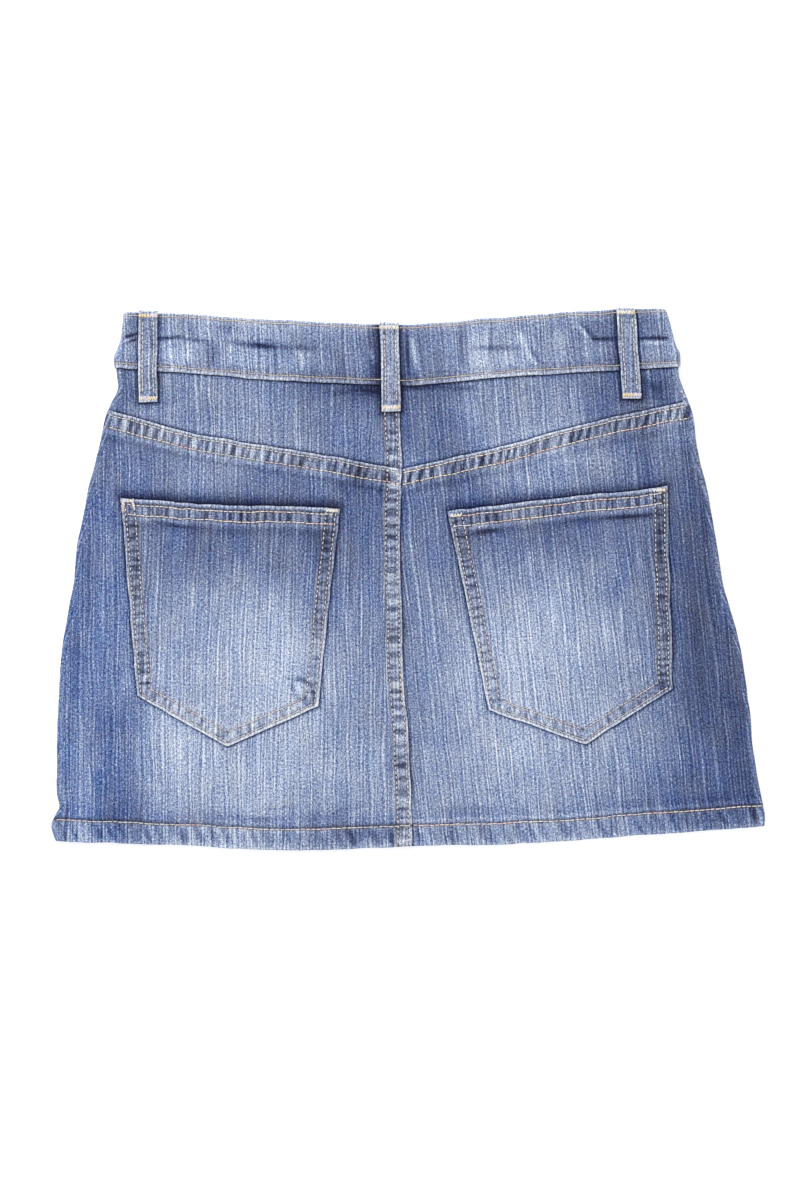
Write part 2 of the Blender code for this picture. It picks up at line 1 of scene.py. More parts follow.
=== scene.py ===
"""The looks of the denim skirt: fine cloth, stitching, denim, light and camera.

The skirt lies on its front, so its back faces up. X runs across it, Y from the hem up to the waist, and
Z up out of the surface. Sizes in the tables and functions are millimetres; the meshes are in metres.
The pieces of cloth are grids of points made with numpy, in rows from the hem up. "Outer" is the right
side of the cloth. A relief function gives how high the cloth stands and its tone, which is how light it is;
the tone holds painted shade and light as well.
"""

import math

import bpy
import numpy as np
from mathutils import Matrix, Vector


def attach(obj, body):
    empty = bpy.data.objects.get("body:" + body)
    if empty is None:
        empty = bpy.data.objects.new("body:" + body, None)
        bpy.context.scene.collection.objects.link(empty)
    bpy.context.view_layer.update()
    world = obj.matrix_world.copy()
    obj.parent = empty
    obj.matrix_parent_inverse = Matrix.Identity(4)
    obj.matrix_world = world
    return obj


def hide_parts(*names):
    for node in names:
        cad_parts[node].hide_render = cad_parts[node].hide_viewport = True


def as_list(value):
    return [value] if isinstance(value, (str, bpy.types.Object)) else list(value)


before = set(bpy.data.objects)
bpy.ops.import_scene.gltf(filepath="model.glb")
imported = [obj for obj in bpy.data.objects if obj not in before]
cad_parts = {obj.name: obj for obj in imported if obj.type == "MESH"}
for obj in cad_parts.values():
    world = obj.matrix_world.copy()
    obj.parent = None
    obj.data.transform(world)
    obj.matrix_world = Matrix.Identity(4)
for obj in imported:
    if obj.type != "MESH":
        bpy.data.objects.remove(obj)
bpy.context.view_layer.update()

MM = 0.001
BODY = "root"

# Cloth
CLOTH = 1.1             # one layer of denim
GAP = 0.3               # clearance between pieces
STEP = CLOTH + GAP      # how far a piece rises to lie on another
ROUND = 0.7             # radius of a worn, folded edge
ROUNDING = (0.0, 0.08, 0.3, ROUND)      # where that edge's rows of points lie
GRID = 1.45             # spacing of the points of the back's cloth
FINE = 1.25             # the same on pockets and beside seams
FAR = 9.0               # distances to lines are kept up to this
WEAVE_UNIT = 100.0      # millimetres of cloth in one unit of its weave coordinates
SIGN = {"left": -1.0, "right": 1.0}     # of x on either side, and s at the side folds

# Seams
LAP = 8.0               # width of the overlap
RAMP = 8.0              # length over which cloth comes down from a layer
CLEAR = 0.6             # from the centre seam's edge to where the right pieces start to come down
YOKE_ROWS = (2.5, 9.8)          # the two rows of stitches below the yoke seam's edge
CENTRE_ROWS = (2.0, 9.2)        # the same, left of the centre seam's edge
POCKET_ROWS = (2.5, 8.5)        # inside a pocket's sides and point
MOUTH_ROWS = (4.0, 10.5)        # below a pocket's top edge
BAND_ROWS = (2.2, 3.3)          # below the band's top edge, and above its lower edge
HEM_ROW = 13.7                  # above the hem's fold
HEM_DEPTH = 15.6                # how far the hem is turned up

# Waistband and belt loops
LEAF = 1.0              # one leaf of the folded band
LEAF_OUT = 1.15         # from the band's middle to its face, above the skirt's edge
SEAM_OUT = CLOTH / 2 + GAP + LEAF       # the same where the skirt's edge is held between the leaves
BAND_HIGH = 37.8
SEAM_HEIGHT = 9.5       # how far up the skirt's edge reaches inside the band
FLARE = 3.0             # length over which the band's face comes down above it
LOOP_WIDTH = 12.2
LOOP_CLOTH = 1.2
LOOP_ROWS = (2.7, 9.7)
WAIST_LIFT = LOOP_CLOTH + GAP           # the front's waist lies on the front loops
BAND_FRONT = WAIST_LIFT + SEAM_OUT      # height of the middle of the band's front
BAND_BACK_SIDE = BAND_FRONT + 2 * SEAM_OUT + 0.6
BAND_BACK_CENTRE = BAND_FRONT + SEAM_OUT + 2 * GAP + 2 * LEAF_OUT + SEAM_OUT
FRONT_DIP = 7.0         # how far the front's waist dips at its centre
BUTTON_AT = (-14.5, 141.0)
SIDE_WRAP = 2.0         # how far the front's cloth comes onto the back
EXTENSION = 34.0        # of the band's right end, behind its left end
CLIMB = 16.0            # length over which the right end rises to pass there
CORNER = 5.5            # how far the right front's top corner is cut back for it

# Stitches
STITCH_LONG = 2.8
STITCH_PITCH = 3.0
THREAD = 0.33           # radius of the thread
TACK_PITCH = 0.62       # of a bar tack's zigzag
HEM_STITCH = {"pitch": 3.4, "long": 3.35, "radius": 0.32}
LOW_STITCH = {"pitch": 3.0, "long": 2.8, "radius": 0.27, "cool": True}  # along a pocket's point
DASHES = {"pitch": 3.2, "long": 2.05, "cool": True}     # of the upright rows, whose gaps show
LOOP_STITCH = {"pitch": 3.1, "long": 2.75, "radius": 0.34, "cool": True}

# The outline, by height
BAND_SIDES = (
    # height, left, centre, right
    (130.0, -191.2, -6.2, 176.6),
    (144.0, -191.5, -6.2, 176.7),
    (157.5, -187.9, -6.2, 173.1),
    (177.0, -185.8, -6.2, 167.3),
)
BODY_SIDES = (
    # height, left, centre, right
    (-178.0, -228.6, 2.6, 230.6),
    (-170.0, -230.4, 2.4, 231.4),
    (-160.0, -233.2, 2.4, 232.1),
    (-154.0, -231.0, 2.2, 231.8),
    (-147.5, -228.0, 1.8, 230.8),
    (-138.0, -229.2, 1.3, 229.0),
    (-108.0, -229.3, 0.2, 224.4),
    (-74.0, -228.0, -2.6, 220.9),
    (-52.0, -226.6, -3.8, 217.5),
    (-34.0, -224.1, -4.3, 213.6),
    (-3.0, -218.7, -5.3, 204.8),
    (22.0, -216.0, -5.5, 200.8),
    (46.0, -211.0, -5.5, 196.9),
    (62.0, -208.1, -4.8, 194.1),
    (75.0, -204.8, -4.2, 190.3),
    (90.0, -200.8, -5.2, 187.5),
    (106.0, -197.5, -6.0, 185.2),
    (117.0, -193.1, -6.2, 181.4),
    (126.0, -189.4, -6.2, 177.8),
    (134.0, -189.4, -6.2, 175.4),
    (150.0, -189.4, -6.2, 174.8),
)
LEVELS = {
    # line: left side, thirds, centre, thirds, right side
    "waist": (174.1, 171.1, 167.6, 165.4, 169.6, 174.1, 176.3),
    "band": (137.4, 132.6, 128.4, 126.0, 130.6, 134.8, 138.4),
    "yoke": (110.0, 94.0, 83.6, 71.8, 86.4, 102.9, 116.0),
    "hem": (-169.9, -172.8, -176.2, -173.4, -171.4, -166.0, -160.6),
}
BACK_HEIGHTS = (
    # drop below the waistband's lower edge, side, centre
    (-12.0, BAND_BACK_SIDE + CLOTH / 2, BAND_BACK_CENTRE + CLOTH / 2),
    (0.0, BAND_BACK_SIDE + CLOTH / 2, BAND_BACK_CENTRE + CLOTH / 2),
    (14.0, 6.0, 7.8),
    (34.0, 4.0, 6.6),
    (60.0, 3.2, 4.9),
    (120.0, 3.1, 4.6),
    (170.0, 3.0, 4.2),
    (250.0, 3.0, 3.6),
    (330.0, 3.0, 3.0),
)
FRONT_HEIGHTS = (
    # drop, height
    (-12.0, BAND_FRONT - CLOTH / 2),
    (0.0, BAND_FRONT - CLOTH / 2),
    (7.0, WAIST_LIFT + 0.1),
    (26.0, WAIST_LIFT),
    (52.0, 0.0),
    (400.0, 0.0),
)
HEM_RISE = 1.9           # of the back over the turned-up hem
POCKETS = {
    # name: side, top left, top right, lower right, point, lower left, bow of the top edge
    "pocket_left": ("left", (-187.6, 53.6), (-44.9, 47.2), (-58.9, -82.2), (-118.4, -108.2),
                    (-176.6, -75.6), -1.6),
    "pocket_right": ("right", (25.3, 44.4), (168.2, 60.4), (171.7, -70.6), (114.9, -106.8),
                     (51.9, -84.8), 0.6),
}
BACK_LOOPS = {
    # name: top x, top y, bottom x, bottom y
    "belt_loop_back_left": (-169.1, 174.8, -169.6, 115.3),
    "belt_loop_back_centre": (-12.6, 166.6, -11.4, 109.2),
    "belt_loop_back_right": (140.6, 176.3, 144.9, 117.4),
}
FRONT_LOOPS = {
    # name: top x, top y, bottom x, bottom y
    "belt_loop_front_left": (-104.0, 166.6, -106.0, 107.0),
    "belt_loop_front_right": (88.0, 169.4, 91.0, 109.4),
}

# Faded and dark areas of the back, as soft ellipses; tone is how much lighter the denim is. The broad light
# ones are the denim's own fades; many small dark ones are painted shade: in the band's creases, beside the
# belt loops, under the band's edge, and thin painted shadow lines along the hem and below the pockets'
# mouth rows
BASE_TONE = 0.487
FADES_AND_SHADE = (
    # x, y, half width, half height, tone
    # Waistband
    (-110, 152, 55, 30, 0.12), (60, 152, 55, 30, 0.11), (170, 146, 16, 16, 0.05),
    (50, 145, 12, 16, 0.05), (-170, 146, 24, 18, 0.05), (-117, 163, 10, 5, -0.11),
    (-127, 147, 5, 9, -0.09), (-92, 152, 16, 3.5, -0.08), (-148, 145, 14, 6, 0.05),
    (-84, 141, 14, 6, 0.05), (-22, 145, 5, 22, -0.12), (46, 148, 11, 16, 0.05),
    (176, 142, 8, 12, 0.025), (-60, 150, 40, 12, -0.02), (124, 163, 12, 9, -0.04),
    (-100, 162, 70, 9, 0.035), (46, 164, 20, 7, 0.05), (-162, 158, 9, 14, 0.06),
    (124, 163, 10, 9, -0.06), (151, 143, 8, 14, 0.05), (0, 158, 16, 20, 0.05),
    (30, 162, 26, 10, -0.06), (46, 163, 10, 9, 0.03), (108, 163, 18, 8, -0.035),
    (-32, 143, 8, 8, 0.035), (124, 143, 10, 10, -0.045), (176, 143, 8, 12, 0.045),
    # Yokes
    (-105, 112, 70, 22, 0.07), (75, 112, 60, 24, 0.09), (-10, 100, 26, 50, -0.05),
    (-58, 124, 24, 30, -0.07), (-12, 126, 20, 28, -0.04), (20, 122, 15, 34, -0.08),
    (138, 108, 26, 24, -0.06), (176, 106, 14, 16, 0.09), (163, 123, 8, 7, -0.12),
    (-27, 122, 12, 5, -0.10), (-120, 118, 80, 10, -0.03), (163, 112, 22, 14, -0.09),
    (116, 108, 30, 10, -0.03), (-130, 108, 50, 12, -0.02), (90, 112, 50, 12, -0.03),
    (126, 122, 12, 10, -0.05), (-181, 122, 7, 8, -0.08), (-32, 124, 20, 5, -0.06),
    (165, 104, 14, 14, 0.07), (-162, 123, 10, 8, -0.03), (-32, 127, 8, 5, 0.03),
    (150, 123, 8, 8, -0.03), (176, 114, 8, 20, 0.045), (20, 104, 10, 10, -0.03),
    (98, 104, 12, 10, 0.04), (158, 126, 7, 8, -0.05),
    # Round the yoke seam and the pockets' mouths
    (-115, 45, 70, 34, -0.07), (95, 45, 70, 34, -0.05), (70, 80, 60, 16, 0.06),
    (-100, 84, 60, 14, 0.04), (-7, 84, 8, 14, 0.03), (28, 82, 18, 12, -0.09),
    (-174, 82, 20, 8, -0.04), (-32, 66, 12, 8, -0.05), (46, 44, 30, 10, -0.03),
    (-58, 26, 10, 12, -0.04), (204, 30, 8, 30, 0.025), (30, 66, 14, 8, -0.05),
    (46, 26, 12, 8, -0.035), (98, 26, 12, 8, -0.035), (190, 26, 16, 12, -0.04),
    (38, 65, 14, 14, -0.05), (-30, 66, 12, 14, -0.05), (88, 63, 26, 6, 0.06),
    (50, 76, 60, 20, 0.035), (152, 84, 12, 16, -0.07), (86, 86, 36, 16, 0.04),
    (-136, 65, 12, 10, 0.05), (-72, 44, 20, 10, 0.04), (-32, 66, 12, 20, -0.07),
    (-6, 72, 12, 14, 0.07), (-126, 68, 26, 12, 0.05), (-110, 30, 60, 14, -0.03),
    (95, 28, 60, 14, -0.03), (46, 84, 10, 8, -0.03), (-6, 65, 8, 8, 0.05),
    (72, 26, 10, 8, -0.04), (144, 41, 19, 1.6, -0.10), (49, 31.5, 10, 2.2, -0.07),
    # Pockets, and the panels beside them
    (-112, -48, 62, 52, 0.20), (104, -52, 60, 58, 0.19), (198, -20, 32, 150, -0.15),
    (226, -100, 34, 90, -0.08), (-204, -20, 26, 80, 0.01), (-134, 12, 24, 28, -0.07),
    (-46, 12, 28, 30, -0.07), (-70, -72, 32, 44, 0.06), (-148, -92, 26, 26, 0.06),
    (-136, -42, 14, 18, -0.06), (36, -68, 42, 60, 0.055), (152, -34, 34, 34, -0.05),
    (162, 10, 30, 24, -0.05), (60, -90, 22, 60, 0.03), (-190, -88, 18, 20, -0.03),
    (-84, 6, 12, 10, -0.05), (-58, -22, 10, 20, -0.045), (-7, -33, 8, 12, -0.11),
    (25, -40, 12, 60, -0.025), (190, -30, 16, 90, -0.015), (190, -24, 18, 18, -0.035),
    (124, -62, 14, 18, -0.045), (-136, -72, 12, 10, -0.035), (-7, -84, 9, 22, 0.03),
    (186, -60, 10, 70, -0.04), (-212, -60, 10, 70, 0.02), (88, -16, 14, 12, 0.045),
    (-74, -76, 10, 12, 0.04), (-74, -100, 10, 18, 0.035), (-10, -60, 10, 70, 0.035),
    (73, -60, 10, 60, 0.035), (-163, -100, 12, 36, 0.035), (-70, -42, 16, 16, 0.045),
    (46, 2, 8, 14, 0.04), (124, -91, 14, 10, 0.05), (206, -20, 16, 60, 0.03),
    (40, -50, 18, 60, 0.03), (-20, -60, 12, 60, -0.01), (202, 6, 9, 40, 0.04),
    (-84, 6, 10, 8, -0.03), (-214, -30, 9, 50, -0.045), (-110, -60, 12, 18, -0.035),
    # Below the pockets, and along the hem
    (-90, -140, 95, 40, 0.17), (90, -142, 85, 36, 0.12), (-190, -132, 15, 36, -0.07),
    (150, -140, 42, 18, -0.06), (-46, -158, 22, 22, -0.09), (-186, -150, 14, 26, -0.08),
    (-150, -104, 22, 34, 0.04), (110, -168, 90, 6, -0.03), (-110, -168, 90, 6, -0.02),
    (-6, -120, 7, 18, -0.05), (-214, -122, 12, 42, 0.03), (-188, -124, 11, 46, 0.045),
    (124, -110, 12, 12, -0.035), (-136, -150, 14, 10, -0.03), (202, -150, 14, 12, -0.04),
    (-45, -169, 30, 6, -0.04), (-7, -120, 7, 16, -0.04), (200, -110, 16, 40, 0.03),
    (-108, -169, 22, 8, 0.04), (98, -169, 22, 8, 0.04), (-32, -169, 12, 8, -0.05),
    (-214, -150, 8, 20, 0.04), (85, -140, 80, 40, -0.03), (-6, -130, 9, 30, -0.05),
    (85, -110, 60, 24, 0.04), (-6, -169, 10, 8, 0.03), (-98, -156, 12, 1.8, -0.13),
    (-126, -154.5, 24, 2.6, -0.06), (-60, -155, 18, 3, -0.05), (-32, -164.5, 14, 3.4, -0.12),
    (-10, -163, 3, 8, -0.10),
)
# Areas that are bluer than the rest
BLUES = (
    # x, y, half width, half height, share
    (-208, -50, 38, 130, 0.26), (-205, -140, 34, 50, 0.08),
    (190, -130, 50, 50, 0.12), (0, 60, 60, 50, 0.08),
)
FRONT_FADES = (
    # x, y, half width, half height, tone
    (-112, -20, 60, 110, 0.18), (108, -20, 60, 110, 0.18),
)

# Soft creases of the waistband and then of the rest: ridges are positive. Their tone is painted light on
# the ridges and painted shade in the troughs
CREASES = (
    # x, y, to x, to y, width, height
    (-187.6, 157.1, -176, 159.4, 0.9, -0.9), (-187, 154.8, -179, 156, 1, 0.4),
    (-183.3, 154.5, -176, 156.2, 0.8, -0.8), (-163, 156, -149, 157.5, 1, -0.9),
    (-150, 157.5, -128, 154, 1.4, -0.45), (-128.4, 154, -129, 137, 2.4, -0.35),
    (-115, 162, -115.5, 140, 1.2, 0.3), (-100.5, 152.5, -86, 151, 1.2, -0.5),
    (-86, 151, -58, 149.5, 1.6, -0.35), (-86.6, 150, -86, 134, 1.1, -0.35),
    (-70, 148, -68.5, 135, 1.1, 0.35), (41, 150.5, 72, 150.5, 1.6, -0.45),
    (109, 166, 118.5, 155.5, 1.2, 0.5), (112, 166.5, 121, 156.5, 1.2, -0.45),
    (118, 156.5, 135, 156.3, 1, -0.85), (71.7, 160.7, 75.6, 151, 1.2, 0.45),
    (75, 150.5, 82, 139.5, 1.3, 0.5), (78.5, 151, 85, 140, 1.4, -0.35),
    (53.2, 165, 53, 140, 0.9, -0.35), (51, 165, 50.6, 140, 1, 0.3),
    (1.8, 158, 5.2, 136, 1.3, 0.55), (-1.5, 158, 0.5, 136, 1.6, -0.4),
    (34, 165, 35, 138, 1.8, -0.3), (-118, 154.6, -88, 151, 1.7, -0.45),
    (-75.5, 151, -70, 145, 1, 0.4), (-26, 150, -22.5, 140, 1.1, 0.45),
    (-143, 163.5, -138, 158, 1.5, -0.3), (149.5, 156.5, 172.5, 157, 1, -0.9),
    (151, 153.8, 168, 154.3, 1.2, 0.4),
)

PANEL_CREASES = (
    # the same columns
    (-42.5, 38, -40.5, -4, 1, 0.4), (-40.5, -4, -37, -64, 1, 0.35),
    (-39.5, 40, -37.5, -4, 1.6, -0.25), (-66, 79, -44, 71.5, 1.2, -0.45),
    (-46, 64, -38, 53, 1.4, -0.35), (-20, 61, -17.3, 53.7, 1, -0.55),
    (-17.3, 53.7, -9, 48, 1, -0.5), (10, 61.5, 23, 62.5, 1.2, -0.35),
    (-203, 94, -186, 88, 1.6, -0.3), (-33, 123.5, -18, 120.5, 1.3, -0.9),
    (-52, 121, -33, 123, 1.6, -0.5), (-4, 124, 20, 124.6, 1.2, -0.9),
    (20, 124.6, 44, 123.8, 1.3, -0.75), (72, 123, 84, 123, 1.3, -0.35),
    (152, 131, 163, 122, 1.8, -0.45), (156, 118, 172, 117, 1.4, -0.3),
    (-176, 118.5, -166, 121, 1.6, -0.3), (-26, -146, -50, -152, 1.3, -0.45),
    (-66, -148, -100, -150, 1.5, -0.3), (20, -150, 60, -148, 1.8, -0.3),
    (200, -118, 204, -140, 1.5, 0.3), (-208, -118, -209, -152, 1.4, 0.3),
)
POCKET_CREASES = (
    # the same columns
    (-168, 38.2, -139, 33.2, 0.8, -0.6), (-75.9, -66.5, -74.6, -74.8, 1, -0.7),
    (-74.6, -74.8, -69.4, -78.4, 1, -0.7), (-71.6, -66.5, -70.2, -75.5, 1.1, 0.5),
    (-64.4, -70, -67, -77, 1, -0.6), (-74, -64.5, -67, -65, 1.2, -0.7),
    (-68, -65, -62.8, -70.5, 1.2, -0.8), (-62.8, -70.5, -61.4, -79, 1.2, -0.8),
    (-66, -66.5, -64.6, -75, 1.3, 0.7), (-80, -64.5, -70, -64, 1, -0.35),
    (41, 33.5, 53, 36.5, 0.9, 0.5), (42, 30, 61, 33, 1.1, -0.6),
    (52, 31, 58, 26.5, 0.8, 0.4), (104, 38, 124, 39.5, 1, -0.35),
    (124, 39.5, 160, 42.5, 1, -0.7),
)
FRONT_CREASES = (
    # the same columns; they stand up from the face that the front lies on
    (-44, 92, -112, 78, 3, 0.34), (-40, 70, -84, 62, 2.6, 0.30),
    (-132, 118, -164, 98, 3.2, 0.30), (-60, -60, -68, -128, 3, 0.26),
    (-150, -20, -158, -92, 3.4, 0.28), (42, 96, 98, 84, 2.8, 0.32),
    (46, 72, 118, 60, 3.2, 0.28), (128, 112, 166, 96, 2.8, 0.32),
    (76, -40, 84, -118, 3.2, 0.28), (158, 6, 166, -62, 3, 0.26),
)


# ---------------------------------------------------------------------------------------------
# Curves, noise and the skirt's main surfaces


def smooth(value, start, end):
    """0 before start, 1 after end, and a soft S between them; start may be the larger one."""
    part = np.clip((value - start) / (end - start), 0.0, 1.0)
    return part * part * (3 - 2 * part)


def curve(points, at):
    """Smooth curve through (place, value) points in rising order, without overshoot."""
    places = np.array([point[0] for point in points])
    values = np.array([point[1] for point in points])
    slopes = np.diff(values) / np.diff(places)
    before, after = slopes[:-1], slopes[1:]
    same_way = before * after > 0
    total = np.where(same_way, before + after, 1.0)
    tangents = np.where(same_way, 2 * before * after / total, 0.0)
    tangents = np.concatenate(([slopes[0]], tangents, [slopes[-1]]))
    at = np.clip(np.asarray(at, float), places[0], places[-1])
    i = np.clip(np.searchsorted(places, at) - 1, 0, len(places) - 2)
    span = places[i + 1] - places[i]
    t = (at - places[i]) / span
    rest = 1 - t
    return (rest * rest * (1 + 2 * t) * values[i] + t * t * (3 - 2 * t) * values[i + 1]
            + span * t * rest * (rest * tangents[i] - t * tangents[i + 1]))


def column(table, number):
    return [(row[0], row[number]) for row in table]


def noise(x, y, size_x, size_y, seed):
    """Soft random field from -1 to 1 with features of the given size."""
    table = np.random.RandomState(seed).uniform(-1.0, 1.0, (128, 128))
    px, py = np.asarray(x) / size_x + 500.0, np.asarray(y) / size_y + 500.0
    ix, iy = np.floor(px).astype(int), np.floor(py).astype(int)
    fx, fy = px - ix, py - iy
    fx, fy = fx * fx * (3 - 2 * fx), fy * fy * (3 - 2 * fy)

    def corner(dx, dy):
        return table[(ix + dx) % 128, (iy + dy) % 128]

    low = corner(0, 0) * (1 - fx) + corner(1, 0) * fx
    high = corner(0, 1) * (1 - fx) + corner(1, 1) * fx
    return low * (1 - fy) + high * fy


BODY_EDGES, BAND_EDGES = ({"left": column(table, 1), "right": column(table, 3)}
                          for table in (BODY_SIDES, BAND_SIDES))
BODY_CENTRE, BAND_CENTRE = column(BODY_SIDES, 2), column(BAND_SIDES, 2)
BACK_SIDE, BACK_CENTRE = (column(BACK_HEIGHTS, n) for n in (1, 2))
FRONT_HEIGHT = column(FRONT_HEIGHTS, 1)
LEVEL_POINTS = {line: [(i / 3 - 1, height) for i, height in enumerate(heights)]
                for line, heights in LEVELS.items()}


def level(line, s):
    """Height of a line across the back at s, from -1 at the left side over 0 at the centre to 1."""
    points = LEVEL_POINTS[line]
    if line != "yoke":
        return curve(points, s)
    return np.where(np.asarray(s) < 0, curve(points[:4], s), curve(points[3:], s))


def front_level(line, s):
    dip = 0.0 if line == "hem" else FRONT_DIP * (1 - np.square(s))
    return level(line, s) - dip


def back_base(s, y):
    """Height of the back's outer face where it lies on no other piece."""
    drop = level("band", s) - y
    side = curve(BACK_SIDE, drop)
    centre = curve(BACK_CENTRE, drop)
    hem = HEM_RISE * smooth(y - level("hem", s), HEM_DEPTH + 7.0, HEM_DEPTH - 0.5)
    return side + (centre - side) * (1 - np.square(s)) + hem


def front_base(s, y):
    return curve(FRONT_HEIGHT, front_level("band", s) - y)


def band_edge(side, y):
    return curve(BAND_EDGES[side], y)


def body_edge(side, y):
    """Outline of the panels, which turn in to run up between the waistband's leaves."""
    edge = curve(BODY_EDGES[side], y)
    held = band_edge(side, y) - SIGN[side] * (SEAM_OUT - CLOTH / 2)
    lower_edge = level("band", SIGN[side])
    return edge + (held - edge) * smooth(y, lower_edge - 6.0, lower_edge - 1.0)


def fold_radius(side, y):
    return (back_base(SIGN[side], y) - front_base(SIGN[side], y)) / 2


def centre_x(y):
    return curve(BODY_CENTRE, y)


def half_width(side, y):
    """Flat half width of the cloth, from the centre seam to where the side fold begins."""
    return np.abs(body_edge(side, y) - centre_x(y)) - fold_radius(side, y)


def place_across(x, y):
    """s of a point: -1 at the left fold, 0 at the centre seam, 1 at the right fold."""
    out = x - centre_x(y)
    width = np.where(out < 0, half_width("left", y), half_width("right", y))
    return np.clip(out / width, -1.0, 1.0)


# ---------------------------------------------------------------------------------------------
# Relief and tone: folds, puckers, fades, worn edges, and painted shade and light


def ridge(distance, width):
    return np.exp(-np.square(distance / width))


def bars(along, seed, pitch):
    """The uneven dark and light puckers along a seam, from -1 to 0.28."""
    slip = 2.6 * noise(along, 0.0, pitch * 1.6, 1.0, seed)
    strength = 0.62 + 0.38 * noise(along, 3.0, pitch * 1.3, 1.0, seed + 2)
    fine = noise(along, 7.0, pitch * 0.4, 1.0, seed + 1)
    return np.clip(strength * np.sin(along * 2 * np.pi / pitch + slip) + 0.45 * fine - 0.1, -1.0, 0.28)


def segment(x, y, x0, y0, x1, y1):
    """Distance of points to a segment, and how far along it they lie, from 0 to 1."""
    dx, dy = x1 - x0, y1 - y0
    long = dx * dx + dy * dy
    part = np.clip(((x - x0) * dx + (y - y0) * dy) / long, 0.0, 1.0)
    return np.hypot(x - x0 - part * dx, y - y0 - part * dy), part


def creases(table, x, y):
    total = np.zeros(np.shape(x))
    for x0, y0, x1, y1, width, height in table:
        away, part = segment(x, y, x0, y0, x1, y1)
        taper = np.sin(np.pi * np.clip(part * 0.9 + 0.05, 0.0, 1.0)) ** 0.6
        total = total + height * taper * ridge(away, width)
    return total


def ellipses(table, x, y):
    total = np.zeros(np.shape(x))
    for cx, cy, rx, ry, tone in table:
        total = total + tone * np.exp(-np.square((x - cx) / rx) - np.square((y - cy) / ry))
    return total


def ease(x, y):
    """Slow unevenness of cloth that lies loose."""
    return (0.45 * noise(x, y, 46.0, 60.0, 11) + 0.22 * noise(x, y, 19.0, 24.0, 12)
            + 0.07 * noise(x, y, 7.0, 9.0, 13))


def seam_distance(x, y):
    """Distance below the yoke seam's edge."""
    s = place_across(x, y)
    slope = np.where(s < 0, 0.21, 0.24)
    return (level("yoke", s) - y) / np.sqrt(1 + slope * slope)


def centre_distance(x, y):
    """Distance left of the centre seam's edge."""
    return centre_x(y) - x


def hem_distance(x, y):
    return y - level("hem", place_across(x, y))


def between_rows(distance, rows):
    """1 between two rows of stitches, falling off beyond them."""
    low, high = rows
    return smooth(distance, low - 1.6, low + 0.64) * smooth(distance, high + 1.6, high - 0.4)


def stitch_dents(distance, rows, depth=0.28, width=0.8):
    return -depth * sum(ridge(distance - row, width) for row in rows)


def felled(distance, rows, wave, strong, faint):
    """A felled seam's height, where it lies doubled, and where its puckers run out beside it."""
    inside = between_rows(distance, rows)
    tail = smooth(distance, 19.0, rows[1])
    height = strong * wave * inside + faint * wave * tail * (1 - inside) + stitch_dents(distance, rows)
    return height, inside, tail


def yoke_relief(x, y):
    """Height and tone of the felled yoke seam, on the lower panels."""
    d = seam_distance(x, y)
    wave = bars(x + 0.25 * d, 21, 5.6)
    height, inside, tail = felled(d, YOKE_ROWS, wave, 0.32, 0.16)
    dim = smooth(x, 20.0, 50.0) * smooth(x, 150.0, 115.0)
    strip = np.where(x < 0, 0.055, 0.025 - 0.07 * dim)
    below = np.where(x < 0, 0.07, 0.02) + 0.10 * wave
    tone = (0.34 * wave + strip) * inside + 0.04 * wave * tail
    # Below the rows: a pale line, then painted shade 15.4 mm below the edge
    tone = tone + below * ridge(d - 12.4, 1.4) - 0.06 * ridge(d - 15.4, 1.8)
    return height, tone * smooth(d, 26.0, 20.0)


def centre_relief(x, y, piece):
    """Height and tone of the felled centre seam."""
    d = centre_distance(x, y)
    # Painted shade: the right piece darkens just beside the seam's edge, the left one just past its rows
    if piece.endswith("right"):
        return np.zeros(np.shape(d)), -0.04 * ridge(d, 3.0) - 0.02 * ridge(d + 6.0, 7.0)
    wave = bars(y, 31, 7.6)
    height, inside, _ = felled(d, CENTRE_ROWS, wave, 0.30, 0.12)
    tone = (0.24 * wave + 0.035) * inside + 0.02 * smooth(d, 9.0, 8.0) - 0.03 * ridge(d - 12.6, 2.0)
    return height, tone * smooth(d, 26.0, 20.0)


def hem_relief(x, y):
    """Height and tone of the turned-up hem."""
    d = hem_distance(x, y)
    above = d - HEM_ROW
    wave = bars(x + d * 0.5, 41, 9.5)
    inside = smooth(d, 0.0, 4.0) * smooth(above, 1.2, -1.5)
    tail = smooth(d, 34.0, HEM_ROW) * smooth(above, -0.5, 1.0)
    height = 0.42 * wave * inside + 0.22 * wave * tail + stitch_dents(d, (HEM_ROW,), 0.35)
    # Painted shadow above the row of stitches: a dark line close to it, stronger on the left, and a broad
    # darker band higher up
    dark, pale = np.where(x < 0, -0.22, -0.14), np.where(x < 0, 0.0, 0.13)
    tone = (0.12 * wave + 0.03) * inside + 0.03 * wave * tail + 0.06 * ridge(d - 1.5, 3.4)
    tone = tone + dark * ridge(above - 1.3, 0.9) + pale * ridge(above - 2.9, 1.2)
    return height, tone - 0.05 * ridge(above - 5.5, 4.0)


def side_relief(x, y):
    """Height and tone along the side seams: a painted highlight just inside the side folds, stronger on the
    right, and a slightly darker band further in.
    """
    edge = np.minimum(x - body_edge("left", y), body_edge("right", y) - x)
    pale = np.where(x > 0, 0.07, 0.03)
    height = 0.15 * bars(y, 51, 8.0) * ridge(edge - 5.0, 4.0)
    return height, pale * ridge(edge - 2.0, 1.6) - 0.04 * ridge(edge - 8.0, 4.0)


def mouth(name, part):
    """Points of a pocket's top edge without its ripple, from 0 at its left end to 1."""
    _, left, right, *_, bow = POCKETS[name]
    y = left[1] + (right[1] - left[1]) * part + bow * 4 * part * (1 - part)
    return left[0] + (right[0] - left[0]) * part, y


def foot(y):
    """1 on the slanting lower part of a pocket."""
    return smooth(y, -70.0, -84.0)


def ripple(name, x):
    """How much a pocket's top edge waves up and down."""
    return 0.55 * noise(x, len(name), 15.0, 1.0, 97) + 0.3 * noise(x, len(name), 6.5, 1.0, 98)


